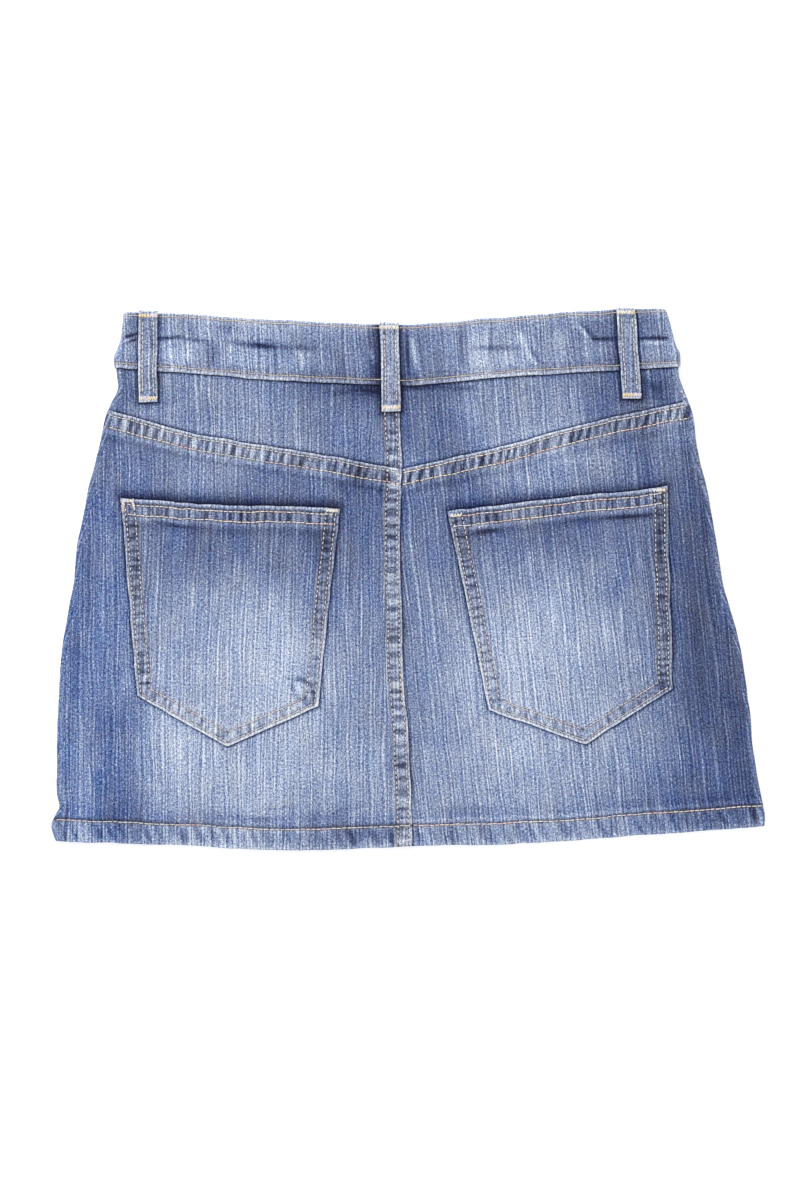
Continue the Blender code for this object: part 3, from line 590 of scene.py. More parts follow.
def pocket_distances(name, x, y):
    """Distances inside a pocket's top edge, and inside its sides and point, and the place along."""
    _, top_left, top_right, low_right, point, low_left, _ = POCKETS[name]
    across = np.clip((x - top_left[0]) / (top_right[0] - top_left[0]), 0.0, 1.0)
    top = mouth(name, across)[1] + ripple(name, x) - y
    inside, along = np.full(np.shape(x), 1e9), np.zeros(np.shape(x))
    run = 0.0
    for start, end in ((top_right, low_right), (low_right, point), (point, low_left), (low_left, top_left)):
        dx, dy = end[0] - start[0], end[1] - start[1]
        long = math.hypot(dx, dy)
        away = ((x - start[0]) * dy - (y - start[1]) * dx) / long
        place = run + ((x - start[0]) * dx + (y - start[1]) * dy) / long
        along = np.where(away < inside, place, along)
        inside = np.minimum(inside, away)
        run += long
    return top, inside, along


def pocket_shadow(x, y):
    """Painted shadow that the pockets cast on the panels round them: darkest above their mouths, fainter
    round their sides.
    """
    total = np.zeros(np.shape(x))
    for name, strength in (("pocket_left", 0.23), ("pocket_right", 0.15)):
        top, inside, _ = pocket_distances(name, x, y)
        over_mouth = smooth(inside, -6.0, 4.0) * ridge(top + 1.5, 4.2) * (top < 3)
        outside = np.maximum(-inside, 0.0) + np.maximum(-top, 0.0)
        total = total - strength * over_mouth - 0.03 * np.exp(-outside / 3.4) * (outside > 0)
    return total


# ---------------------------------------------------------------------------------------------
# Heights and tones of the pieces of the back


def seam_rise(x, y):
    """1 where the lower panels lie on the yokes, falling to 0 below the seam."""
    return smooth(seam_distance(x, y), LAP + RAMP + 3.0, LAP + 3.0)


def centre_rise(x, y):
    """1 where the left pieces lie on the right ones, falling to 0 to the left of the seam."""
    across = smooth(centre_distance(x, y), LAP + RAMP + 2.0, LAP + 2.0)
    return across * smooth(y, level("band", 0.0) - 1.0, level("band", 0.0) - 6.0)


def back_tone(x, y):
    border = smooth(x + 1.2 * noise(x, y, 9.0, 12.0, 62), -170.5, -175.0) * smooth(y, -68.0, -92.0)
    border = border * smooth(x, -216.0, -196.0)
    return BASE_TONE + ellipses(FADES_AND_SHADE, x, y) + 0.022 * noise(x, y, 34.0, 42.0, 61) - 0.035 * border


def above_seam(seam):
    """Painted light on the yokes just above their seam's edge, which lifts the shade there."""
    return 0.025 * ridge(seam + 3.4, 2.6)


def painted_shade_under_band(below_band):
    """Painted shade on the cloth under the waistband's lower edge."""
    return -0.02 * ridge(below_band - 2.0, 4.5) - 0.03 * ridge(below_band, 12.0)


def back_surface(piece, x, y):
    """Height of a back piece's outer face, and its tone."""
    s = place_across(x, y)
    below_band = level("band", s) - y
    centre_height, centre_tone = centre_relief(x, y, piece)
    side_height, side_tone = side_relief(x, y)
    fold = creases(PANEL_CREASES, x, y)
    loose = smooth(below_band, 2.0, 22.0) * smooth(hem_distance(x, y), 4.0, 30.0)
    height = back_base(s, y) + 0.9 * (ease(x, y) + 0.25) * loose * smooth(np.abs(s), 1.0, 0.93)
    height = height + side_height + 0.7 * fold
    # Painted light on the creases' ridges and painted shade in their troughs
    tone = back_tone(x, y) + pocket_shadow(x, y) + centre_tone + side_tone + 0.22 * fold
    if piece.startswith("yoke"):
        tone = tone + above_seam(seam_distance(x, y)) + painted_shade_under_band(below_band)
        # Painted shade beside the belt loops
        tone = tone - 0.12 * ridge(from_loops(x, y), 3.6)
        if piece == "yoke_left":
            height = height + (STEP - 0.5) * centre_rise(x, y) + centre_height
        return height, tone
    for relief in (yoke_relief, hem_relief):
        seam_height, seam_tone = relief(x, y)
        height = height + seam_height
        tone = tone + seam_tone
    if piece == "back_left":
        layers = seam_rise(x, y) + centre_rise(x, y) * (1 + 0.5 * seam_rise(x, y))
        return height + (STEP - 0.3) * layers + centre_height, tone
    on_left_yoke = smooth(-centre_distance(x, y), CLEAR + RAMP, CLEAR)
    return height + (STEP - 0.3) * seam_rise(x, y) * (1 + 0.5 * on_left_yoke), tone


# ---------------------------------------------------------------------------------------------
# Making meshes


def spaced(near, pitch, length, far):
    """Places along a length, as shares of it and fixed distances: share * length + distance."""
    count = max(2, round((length - near[-1] - far[-1]) / pitch))
    part = np.arange(1, count) / count
    shares = np.concatenate((np.zeros(len(near)), part, np.ones(len(far))))
    fixed = np.concatenate((near, near[-1] * (1 - part) - far[-1] * part, -np.array(far[::-1])))
    return shares, fixed


def stepped(places, marks, step=FINE):
    """Places, and then even steps that meet each mark."""
    places = list(places)
    for mark in marks:
        start = places[-1]
        steps = math.ceil((mark - start) / step)
        places += [start + (mark - start) * (k + 1) / steps for k in range(steps)]
    return places


def seam_places(*marks):
    """Places near a worn edge: close ones on its rounding, then steps that meet each mark."""
    return stepped(ROUNDING, marks)


def spaced_part(near, length, far):
    """Places from 0 to 1 along about this length, close together near its ends."""
    share, fixed = spaced(near, FINE, length, far)
    part = share + fixed / length
    return (part - part[0]) / (part[-1] - part[0])


def mirrored(*grids):
    """The same grids with their columns in reverse, which turns their faces over."""
    return [grid[:, ::-1] for grid in grids]


def round_edge(distance):
    """How far a folded edge's face drops, at a distance in from the fold."""
    inside = np.clip(ROUND - distance, 0.0, ROUND)
    return ROUND - np.sqrt(np.maximum(ROUND * ROUND - inside * inside, 0.0))


CUTS = {}


def set_values(mesh, name, values):
    """Colour attribute from rows of three or four numbers."""
    paint = np.ones((len(values), 4), dtype=np.float32)
    paint[:, :values.shape[1]] = values
    mesh.attributes.new(name, "FLOAT_COLOR", "POINT").data.foreach_set("color", paint.ravel())


def add_piece(name, vertices, faces, material, node=None):
    """New object from arrays in millimetres, riding on the body."""
    mesh = bpy.data.meshes.new(name)
    mesh.from_pydata((vertices * MM).tolist(), [], faces)
    mesh.materials.append(material)
    mesh.shade_smooth()
    piece = bpy.data.objects.new(name, mesh)
    bpy.context.scene.collection.objects.link(piece)
    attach(piece, BODY)
    if node:
        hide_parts(node)
    return piece


def shell_faces(keep):
    """Faces of a closed shell on a grid of cells, of which only those kept are cloth."""
    rows, columns = keep.shape[0] + 1, keep.shape[1] + 1
    index = np.arange(rows * columns).reshape(rows, columns)
    inner = rows * columns
    a, b, c, d = index[:-1, :-1], index[:-1, 1:], index[1:, 1:], index[1:, :-1]
    faces = [np.stack([corner[keep] for corner in (a, b, c, d)], axis=1),
             np.stack([corner[keep] + inner for corner in (d, c, b, a)], axis=1)]
    around = np.pad(keep, 1)
    for start, end, beyond in ((a, b, around[:-2, 1:-1]), (b, c, around[1:-1, 2:]),
                               (c, d, around[2:, 1:-1]), (d, a, around[1:-1, :-2])):
        rim = keep & ~beyond
        faces.append(np.stack((end[rim], start[rim], start[rim] + inner, end[rim] + inner), axis=1))
    return np.concatenate(faces)


def unevenly(points):
    """The same points moved slightly, so that no edge or seam is ruler-straight."""
    x, y = points[..., 0], points[..., 1]
    moved = np.array(points, dtype=float)
    moved[..., 0] += 0.42 * noise(x, y, 13.0, 15.0, 801) + 0.16 * noise(x, y, 5.0, 5.5, 802)
    moved[..., 1] += 0.42 * noise(x, y, 15.0, 13.0, 803) + 0.16 * noise(x, y, 5.5, 5.0, 804)
    return moved


def add_cloth(node, place, weave, tone, thickness=CLOTH, drop=0.0, grey=0.0, keep=None,
              away=FAR, edge=FAR, worn=0.0, row=FAR, ribs=0.0, rungs=0.0, held="laid", rests_on=()):
    """Closed shell of cloth that stands for a CAD node.

    place is a grid of points of its right side; drop lowers that face near the edges; weave is the
    place on the uncut cloth; tone is how light the denim is, painted shade and light included, and grey
    how little blue it has. The material draws fine lines by distances: painted shade away from a piece
    that lies on this one, paleness in from a worn edge, whose paleness is worn, and painted shade beside
    a row of stitches. Ribs and rungs say how strongly a seam puckers in upright and in level strokes.
    """
    rows, columns = place.shape[:2]

    def per_point(value):
        return np.broadcast_to(value, (rows, columns)).ravel()

    def on_both(outside, inside):
        """Values at the outer and then at the inner face's points."""
        return np.concatenate((per_point(outside), per_point(inside)))

    normal = np.cross(np.gradient(place, axis=1), np.gradient(place, axis=0))
    normal /= np.maximum(np.linalg.norm(normal, axis=2, keepdims=True), 1e-9)
    place = unevenly(place)
    faces_of_cloth = [place - normal * np.broadcast_to(depth, (rows, columns))[..., None]
                      for depth in (drop, thickness)]
    vertices = np.concatenate([face.reshape(-1, 3) for face in faces_of_cloth])
    faces = shell_faces(np.ones((rows - 1, columns - 1), bool) if keep is None else keep)
    used, faces = np.unique(faces, return_inverse=True)
    faces = faces.reshape(-1, 4)
    piece = add_piece(f"{node}_cloth", vertices[used], faces.tolist(), DENIM, node)
    # The inner face is paler and greyer. Grey is painted from 0.5 up, as it may be less than none
    paint = np.stack((on_both(tone, tone * 0.5 + 0.36), on_both(grey + 0.5, 0.85),
                      on_both(ribs, 0.0), on_both(rungs, 0.0)), axis=1)
    # Distances are painted in centimetres
    lines = np.stack([on_both(np.clip(part, 0.0, FAR) / 10, FAR / 10)
                      for part in (away, edge, np.multiply(worn, 10), row)], axis=1)
    set_values(piece.data, "tone", np.clip(paint[used], 0.0, 1.0))
    set_values(piece.data, "lines", lines[used])
    flat = np.stack([per_point(part) for part in weave], axis=1) / WEAVE_UNIT
    flat = np.concatenate((flat, flat + 0.37))[used]
    layer = piece.data.uv_layers.new(name="weave")
    layer.data.foreach_set("uv", flat[faces].astype(np.float32).ravel())
    width = np.linalg.norm(np.diff(place, axis=1), axis=2).sum(axis=1).max()
    length = np.linalg.norm(np.diff(place, axis=0), axis=2).sum(axis=0).max()
    diagonals = np.cross(place[1:, 1:] - place[:-1, :-1], place[1:, :-1] - place[:-1, 1:])
    area = np.linalg.norm(diagonals, axis=2).sum() / 2
    CUTS[node] = (piece, float(width), float(length), float(area), held, rests_on)


# ---------------------------------------------------------------------------------------------
# Stitches


# A stitch's form at six stations along it: lifts and widths are in radii of the thread
STITCH_PLACES = np.array((0.0, 0.1, 0.3, 0.7, 0.9, 1.0))
STITCH_LIFTS = np.array((-0.7, 0.3, 0.8, 0.8, 0.3, -0.7))
STITCH_WIDTHS = np.array((0.5, 0.88, 1.0, 1.0, 0.88, 0.5))
SIDES = 6               # of the thread's section
SAME_COLOUR = 5         # stitches in a row that share a colour


def stitches(points, normals, seed, pitch=STITCH_PITCH, long=STITCH_LONG, radius=THREAD, margin=1.0,
             cool=False):
    """A run of stitches along a path, for sew: stations, the normals there, the ways aside, the thread's
    radius, the random draws to go on with, and the colours if they aren't those of the whole object."""
    points, normals = np.asarray(points, float), np.asarray(normals, float)
    lengths = np.linalg.norm(np.diff(points, axis=0), axis=1)
    run = np.concatenate(([0.0], np.cumsum(lengths)))
    count = int((run[-1] - 2 * margin + pitch - long) / pitch)
    if count < 1:
        return []
    random = np.random.RandomState(seed)
    first = (run[-1] - (count - 1) * pitch - long) / 2
    starts = first + pitch * np.arange(count) + random.uniform(-0.12, 0.12, count)
    longs = long * random.uniform(0.88, 1.06, count)
    at = starts[:, None] + longs[:, None] * STITCH_PLACES
    centre = np.stack([np.interp(at, run, points[:, axis]) for axis in range(3)], axis=-1)
    normal = np.stack([np.interp(at, run, normals[:, axis]) for axis in range(3)], axis=-1)
    aside = np.cross(normal, centre[:, -1:] - centre[:, :1])
    aside /= np.linalg.norm(aside, axis=2, keepdims=True)
    centre = centre + aside * random.uniform(-0.13, 0.13, (count, 1, 1))
    return [(centre, normal, aside, radius, random, COOL_THREADS if cool else None)]


def bar_tack(middle, normal, along, height, width, tall, seed):
    """A run for sew that is a dense zigzag bar: short threads side by side in the direction along."""
    middle, along = np.asarray(middle, float), np.asarray(along, float)
    normal = np.asarray(normal, float)
    count = round(width / TACK_PITCH)
    random = np.random.RandomState(seed)
    out = (np.arange(count) - (count - 1) / 2)[:, None, None] * TACK_PITCH
    out = out + random.uniform(-0.2, 0.2, (count, 1, 1))
    lean = random.uniform(-0.45, 0.45, (count, 1, 1))
    part = (STITCH_PLACES - 0.5)[None, :, None]
    reach = part * tall * random.uniform(0.75, 1.15, (count, 1, 1))
    centre = middle + along * (out + lean * part * 2) + np.cross(normal, along) * reach
    centre[..., 2] = height(centre[..., 0], centre[..., 1])
    normals = np.broadcast_to(normal, centre.shape)
    aside = np.broadcast_to(-along, (count, 1, 3))
    return [(centre, normals, aside, 0.3, random, None)]


def sew(name, runs, palette):
    """One object of all the stitches given."""
    vertices, quads, ends, tints = [], [], [], []
    total = 0
    angles = 2 * math.pi * np.arange(SIDES) / SIDES
    for centre, normal, aside, radius, random, own in runs:
        count, stations = centre.shape[:2]
        middle = unevenly(centre) + normal * (STITCH_LIFTS * radius)[None, :, None]
        thick = (radius * STITCH_WIDTHS)[None, :, None, None]
        ring = (aside[:, :, None, :] * np.cos(angles)[None, None, :, None]
                + normal[:, :, None, :] * np.sin(angles)[None, None, :, None]) * thick
        points = middle[:, :, None, :] + ring
        vertices.append(points.reshape(-1, 3))
        index = total + np.arange(count * stations * SIDES).reshape(count, stations, SIDES)
        after = np.roll(index, -1, axis=2)
        around = (index[:, :-1], after[:, :-1], after[:, 1:], index[:, 1:])
        quads.append(np.stack(around, axis=-1).reshape(-1, 4))
        ends += [index[:, 0, ::-1], index[:, -1, :]]
        total += count * stations * SIDES
        pick = random.randint(0, len(palette), count // SAME_COLOUR + 1)
        pick = np.repeat(pick, SAME_COLOUR)[:count]
        light = random.uniform(0.82, 1.12, count)
        tint = np.array([linear((own or palette)[i]) for i in pick]) * light[:, None]
        tints.append(np.repeat(tint, stations * SIDES, axis=0))
    faces = np.concatenate(quads).tolist() + np.concatenate(ends).tolist()
    piece = add_piece(name, np.concatenate(vertices), faces, THREAD_MATERIAL)
    set_values(piece.data, "tint", np.clip(np.concatenate(tints), 0.0, 1.0))
    return piece


def lie_on(x, y, height, way=1.0):
    """Path on a face that looks up, or down where way is -1."""
    points = np.stack((x, y, height(x, y)), axis=1)
    return points, np.broadcast_to((0.0, 0.0, way), points.shape)


# ---------------------------------------------------------------------------------------------
# Materials


LINE_STRENGTH = 0.148   # of the lines along the warp
DENIM_RAMP = (
    # tone, colour as seen on a screen
    (0.00, (14, 18, 46)),
    (0.20, (42, 51, 84)),
    (0.36, (76, 88, 124)),
    (0.46, (98, 112, 150)),
    (0.56, (125, 139, 174)),
    (0.66, (152, 166, 194)),
    (0.78, (188, 200, 220)),
    (1.00, (236, 240, 248)),
)


def linear(colour):
    """Screen colour, from 0 to 255, as light."""
    values = np.array(colour) / 255
    return tuple(np.where(values <= 0.04045, values / 12.92, ((values + 0.055) / 1.055) ** 2.4))


def opaque(colour):
    return (*linear(colour), 1.0)


def set_inputs(node, values):
    for socket, value in values.items():
        node.inputs[socket].default_value = value


def new_material(name, slot, roughness, **inputs):
    """A material, the tools to build its nodes, and its shader."""
    material = bpy.data.materials.new(name)
    material.use_nodes = True
    shader = material.node_tree.nodes["Principled BSDF"]
    set_inputs(shader, {"Roughness": roughness, **inputs})
    return material, Nodes(material.node_tree), shader


class Nodes:
    """Short names for building a node tree."""

    def __init__(self, tree):
        self.tree = tree

    def new(self, kind, **settings):
        node = self.tree.nodes.new(kind)
        for key, value in settings.items():
            setattr(node, key, value)
        return node

    def link(self, source, target):
        self.tree.links.new(source, target)

    def maths(self, operation, first, second=None, third=None):
        node = self.new("ShaderNodeMath", operation=operation)
        for socket, value in zip(node.inputs, (first, second, third)):
            if value is None:
                continue
            if isinstance(value, (int, float)):
                socket.default_value = value
            else:
                self.link(value, socket)
        return node.outputs[0]

    def times(self, first, second):
        return self.maths("MULTIPLY", first, second)

    def scaled(self, value, factor, offset):
        """value * factor + offset"""
        return self.maths("MULTIPLY_ADD", value, factor, offset)

    def falling(self, value, width):
        """1 where value is 0, falling off over a width."""
        return self.maths("EXPONENT", self.times(value, -1.0 / width))

    def attribute(self, name):
        return self.new("ShaderNodeAttribute", attribute_name=name, attribute_type="GEOMETRY").outputs

    def split(self, colour):
        node = self.new("ShaderNodeSeparateColor")
        self.link(colour, node.inputs[0])
        return node.outputs

    def mix(self, factor, first, second):
        """Colour between two, each a socket or a screen colour."""
        node = self.new("ShaderNodeMix", data_type="RGBA")
        self.link(factor, node.inputs["Factor"])
        for socket, colour in (("A", first), ("B", second)):
            if isinstance(colour, tuple):
                node.inputs[socket].default_value = opaque(colour)
            else:
                self.link(colour, node.inputs[socket])
        return node.outputs["Result"]

    def stretched_noise(self, coordinates, across, along, detail=1.0, aside=0.0):
        """Noise with features of a size in millimetres across and along the warp."""
        mapping = self.new("ShaderNodeMapping")
        set_inputs(mapping, {"Scale": (WEAVE_UNIT / across, WEAVE_UNIT / along, 1.0),
                             "Location": (aside / across, 0.0, 0.0)})
        self.link(coordinates, mapping.inputs["Vector"])
        texture = self.new("ShaderNodeTexNoise", noise_dimensions="2D")
        set_inputs(texture, {"Scale": 1.0, "Detail": detail, "Roughness": 0.55})
        self.link(mapping.outputs[0], texture.inputs["Vector"])
        return texture.outputs["Fac"]

    def upright_lines(self, coordinates, across, spacing):
        """Fine lines along the warp, about a spacing apart, each of its own strength."""
        sway = self.times(self.stretched_noise(coordinates, 4.4, 60.0, 0.0, spacing), 8.0)
        phase = self.scaled(across, WEAVE_UNIT * 2 * math.pi / spacing, sway)
        strength = self.stretched_noise(coordinates, spacing, 24.0, 1.0, 3.0 * spacing)
        lines = self.times(self.maths("SINE", phase), strength)
        return self.maths("MAXIMUM", lines, -0.22)


def denim_tone(build, weave, tone, shade, ribs, rungs, warp, fibres):
    """How light the denim is: its tone, varied by slubs, fibres and the puckers of seams, with painted
    shade close beside pieces that lie on it and paler worn edges.
    """
    swing = build.scaled(warp, LINE_STRENGTH, -0.02)
    grains = ((fibres, 0.54), (build.stretched_noise(weave, 2.4, 0.8), 0.32),
              (build.stretched_noise(weave, 0.85, 0.9), 0.46),
              (build.stretched_noise(weave, 11.0, 13.0, 2.0), 0.10))
    for grain, strength in grains:
        swing = build.scaled(build.maths("SUBTRACT", grain, 0.5), strength, swing)
    value = build.scaled(swing, build.scaled(tone, 0.75, 0.63), tone)
    for across, along, strength in ((1.7, 16.0, ribs), (9.0, 1.9, rungs)):
        swing = build.maths("SUBTRACT", build.stretched_noise(weave, across, along), 0.47)
        swing = build.times(build.maths("MINIMUM", swing, 0.04), 1.9)
        value = build.scaled(swing, strength, value)
    away, edge, worn = build.split(shade["Color"])
    # Painted shade: much darker close beside a piece that lies on this one
    value = build.scaled(build.falling(away, 0.075), -0.62, value)
    rim = build.new("ShaderNodeMapRange", interpolation_type="SMOOTHSTEP")
    build.link(edge, rim.inputs["Value"])
    set_inputs(rim, {"From Min": 0.20, "From Max": 0.05, "To Min": 0.0, "To Max": 1.0})
    patchy = build.scaled(build.stretched_noise(weave, 1.8, 2.3, 2.0), 2.4, -0.25)
    return build.maths("ADD", value, build.times(build.times(rim.outputs[0], patchy), worn))


def denim_ramp(build, value):
    """Colour of the denim by how light it is."""
    ramp = build.new("ShaderNodeValToRGB")
    ramp.color_ramp.interpolation = "LINEAR"
    elements = ramp.color_ramp.elements
    while len(elements) > 1:
        elements.remove(elements[-1])
    elements[0].position = DENIM_RAMP[0][0]
    elements[0].color = opaque(DENIM_RAMP[0][1])
    for place, colour in DENIM_RAMP[1:]:
        elements.new(place).color = opaque(colour)
    build.link(value, ramp.inputs["Fac"])
    return ramp.outputs["Color"]


def make_denim():
    material, build, shader = new_material("denim_cloth", "denim", 0.92, **{
        "Specular IOR Level": 0.18, "Sheen Weight": 0.06, "Sheen Roughness": 0.6})
    weave = build.new("ShaderNodeUVMap", uv_map="weave").outputs[0]
    painted, shade = build.attribute("tone"), build.attribute("lines")
    tone, grey, ribs = build.split(painted["Color"])
    sides = build.new("ShaderNodeSeparateXYZ")
    build.link(weave, sides.inputs[0])
    # Lines along the warp, broken into beads, and single pale threads
    warp = build.maths("ADD", *[build.upright_lines(weave, sides.outputs[0], spacing)
                                for spacing in (2.15, 2.95)])
    beads = build.scaled(build.stretched_noise(weave, 1.2, 2.2), 2.0, 0.0)
    stray = build.maths("SUBTRACT", build.stretched_noise(weave, 1.0, 45.0, 0.0), 0.64)
    warp = build.times(build.scaled(build.maths("MAXIMUM", stray, 0.0), 4.0, warp), beads)
    fibres = build.stretched_noise(weave, 0.7, 1.5)
    value = denim_tone(build, weave, tone, shade, ribs, painted["Alpha"], warp, fibres)
    # Painted shade along rows of stitches: darker, less blue and browner beside the thread
    from_row = build.times(shade["Alpha"], shade["Alpha"])
    sewn = build.falling(from_row, 0.08 ** 2)
    dull = build.falling(from_row, 0.17 ** 2)
    colour = denim_ramp(build, build.scaled(sewn, -0.21, value))
    # How blue it is
    fade = build.new("ShaderNodeHueSaturation")
    blotches = build.maths("SUBTRACT", build.stretched_noise(weave, 2.0, 3.4, 2.0), 0.5)
    build.link(build.scaled(blotches, 0.07, 0.5), fade.inputs["Hue"])
    patches = build.scaled(build.stretched_noise(weave, 18.0, 28.0), 0.5, 1.10)
    blue = build.scaled(build.stretched_noise(weave, 1.6, 2.6), 0.3, patches)
    blue = build.times(build.maths("SUBTRACT", blue, grey), build.scaled(dull, -0.34, 1.0))
    build.link(blue, fade.inputs["Saturation"])
    build.link(colour, fade.inputs["Color"])
    row_shade_colour = build.mix(build.times(sewn, 0.17), fade.outputs["Color"], (88, 68, 84))
    build.link(row_shade_colour, shader.inputs["Base Color"])
    # Relief of the threads and of the twill, whose ribs are 0.9 mm apart
    twill = build.new("ShaderNodeTexWave", wave_type="BANDS", bands_direction="X")
    set_inputs(twill, {"Scale": WEAVE_UNIT / 0.9 / 6.2832, "Distortion": 1.2})
    turned = build.new("ShaderNodeMapping")
    turned.inputs["Rotation"].default_value = (0.0, 0.0, math.radians(-28))
    build.link(weave, turned.inputs["Vector"])
    build.link(turned.outputs[0], twill.inputs["Vector"])
    rough = build.scaled(twill.outputs["Fac"], 0.5, build.scaled(warp, 0.5, fibres))
    bump = build.new("ShaderNodeBump")
    set_inputs(bump, {"Strength": 0.55, "Distance": 0.28 * MM})
    build.link(rough, bump.inputs["Height"])
    build.link(bump.outputs["Normal"], shader.inputs["Normal"])
    return material


def make_thread():
    material, build, shader = new_material("thread", "denim", 0.62, **{"Specular IOR Level": 0.35})
    build.link(build.attribute("tint")["Color"], shader.inputs["Base Color"])
    return material


def make_hardware(name, slot, roughness, metallic, pattern, scale, colours, **settings):
    """Material of two colours in a fine pattern."""
    material, build, shader = new_material(name, slot, roughness, Metallic=metallic)
    texture = build.new(pattern, **settings)
    texture.inputs["Scale"].default_value = scale
    build.link(build.new("ShaderNodeTexCoord").outputs["Object"], texture.inputs["Vector"])
    build.link(build.mix(texture.outputs["Fac"], *colours), shader.inputs["Base Color"])
    return material


DENIM = make_denim()
THREAD_MATERIAL = make_thread()
BRASS = make_hardware("worn_brass", "button_metal", 0.36, 1.0, "ShaderNodeTexNoise", 600.0,
                      ((176, 136, 84), (105.6, 81.6, 50.4)))
TAPE = make_hardware("zip_tape", "zip_tape", 0.85, 0.0, "ShaderNodeTexWave", 320.0,
                     ((38, 44, 66), (58, 66, 92)), wave_type="BANDS", bands_direction="DIAGONAL")
# Colours of the threads; the cool ones are the left side's and those of the upright rows
THREADS = ((246, 240, 236), (248, 240, 230), (240, 230, 236), (246, 234, 218),
           (236, 230, 232), (246, 236, 238), (244, 216, 212), (234, 232, 228))
COOL_THREADS = ((226, 226, 232), (232, 230, 230), (220, 216, 226), (230, 222, 218),
                (218, 218, 226), (236, 232, 228), (226, 208, 212), (214, 220, 222))
TACKS = ((242, 234, 216), (244, 238, 224), (240, 222, 184), (246, 242, 236), (238, 216, 190),
         (240, 228, 232))


# ---------------------------------------------------------------------------------------------
# Distances that the denim's fine lines follow


def nearest(*pairs):
    """The smallest of several distances, and the strength that goes with it."""
    distances = np.broadcast_arrays(*[np.maximum(pair[0], 0.0) for pair in pairs])
    strengths = np.broadcast_arrays(distances[0], *[pair[1] for pair in pairs])[1:]
    pick = np.argmin(distances, axis=0)
    return np.choose(pick, distances), np.choose(pick, strengths)


def from_loops(x, y):
    """Distance from the nearest of the back's belt loops."""
    total = np.full(np.shape(x), FAR)
    for name, (_, top_y, _, low_y) in BACK_LOOPS.items():
        across = np.abs(x - loop_middle(BACK_LOOPS, name, y)) - LOOP_WIDTH / 2
        along = np.maximum(low_y - y, y - top_y)
        total = np.minimum(total, np.hypot(np.maximum(across, 0), np.maximum(along, 0)))
    return total


def from_rows(distance, rows):
    return np.min([np.abs(distance - row) for row in rows], axis=0)


def back_lines(piece, x, y):
    """Distances for add_cloth, on a piece of the back."""
    seam, centre = seam_distance(x, y), centre_distance(x, y)
    left = piece.endswith("left")
    never, ribs = np.full(np.shape(x), FAR), np.zeros(np.shape(x))
    # aways gives where painted shade falls: beside the edge of a piece that lies on this one, above the
    # yoke seam's edge, under the waistband and beside the belt loops
    aways = [never] if left else [-centre]
    edges = [(centre, 0.18)] if left else [(never, 0.0)]
    rows = [from_rows(centre, CENTRE_ROWS)] if left else [never]
    if piece.startswith("yoke"):
        aways += [-seam, level("band", place_across(x, y)) - y, from_loops(x, y)]
    else:
        # Painted shade: the panel darkens close round each pocket
        for name in POCKETS:
            top, inside, _ = pocket_distances(name, x, y)
            aways.append(np.hypot(np.maximum(-top, 0.0), np.maximum(-inside, 0.0)))
        hem = hem_distance(x, y)
        edges += [(seam, 0.22), (hem * 0.7, 0.09)]
        rows += [from_rows(seam, YOKE_ROWS), np.abs(hem - HEM_ROW)]
        ribs = 0.35 * between_rows(seam, YOKE_ROWS) + 0.3 * smooth(hem, HEM_ROW + 1.0, HEM_ROW - 1.0)
    edge, worn = nearest(*edges)
    rungs = 0.35 * between_rows(centre, CENTRE_ROWS) * (1 - ribs) if left else 0.0
    return {"away": np.min(aways, axis=0), "edge": edge, "worn": worn, "row": np.min(rows, axis=0),
            "ribs": ribs, "rungs": rungs}


# ---------------------------------------------------------------------------------------------
# The back's panels and yokes


BACK_PIECES = {
    # name: side, top line, bottom line
    "yoke_left": ("left", "band", "yoke"),
    "yoke_right": ("right", "band", "yoke"),
    "back_left": ("left", "yoke", "hem"),
    "back_right": ("right", "yoke", "hem"),
}
# Where each piece's weave starts, so that no two show the same slubs
PIECE_SHIFT = {"yoke_left": 311.0, "yoke_right": 733.0, "back_left": 0.0, "back_right": 1207.0,
               "front_left": 2011.0, "front_right": 2803.0, "pocket_left": 431.0, "pocket_right": 917.0}
# The right half's cloth is cut a little off the straight: how far its warp runs aside, per mm down
LEAN = {"yoke_right": 0.10, "back_right": 0.105, "pocket_right": 0.116, "pocket_left": -0.03}
UNDERLAP = LAP - 1.5     # how far a piece runs on under the one that laps it
HELD = 8.0               # and up under the waistband
HALF_WIDTH = 195.0       # about half the skirt's width, which sets how many points there are
SLANT = 1.025            # length along the yoke seam's slope
FOLD = 1.06              # outer radius of the hem's fold
FOLD_TURN = np.radians((180.0, 150.0, 120.0, 90.0, 60.0, 30.0))
INSIDE_HEM = (15.0, 10.0, 5.0)      # rows of the part that is turned up
HEM_MARKS = (HEM_ROW - 1.1, HEM_ROW, HEM_ROW + 1.1, HEM_ROW + 2.2)


def hem_rows(pitch, length, far, step=FINE):
    """Rows from inside the hem, round its fold and up: shares, distances, and depth below the face."""
    share, fixed = spaced(stepped([FOLD], HEM_MARKS, step), pitch, length, far)
    under = len(INSIDE_HEM) + len(FOLD_TURN)
    share = np.concatenate((np.zeros(under), share))
    depth = np.concatenate((np.full(len(INSIDE_HEM), 2 * FOLD), FOLD * (1 - np.cos(FOLD_TURN)),
                            np.zeros(len(fixed))))
    fixed = np.concatenate((INSIDE_HEM, FOLD * (1 - np.sin(FOLD_TURN)), fixed))
    return share, fixed, depth


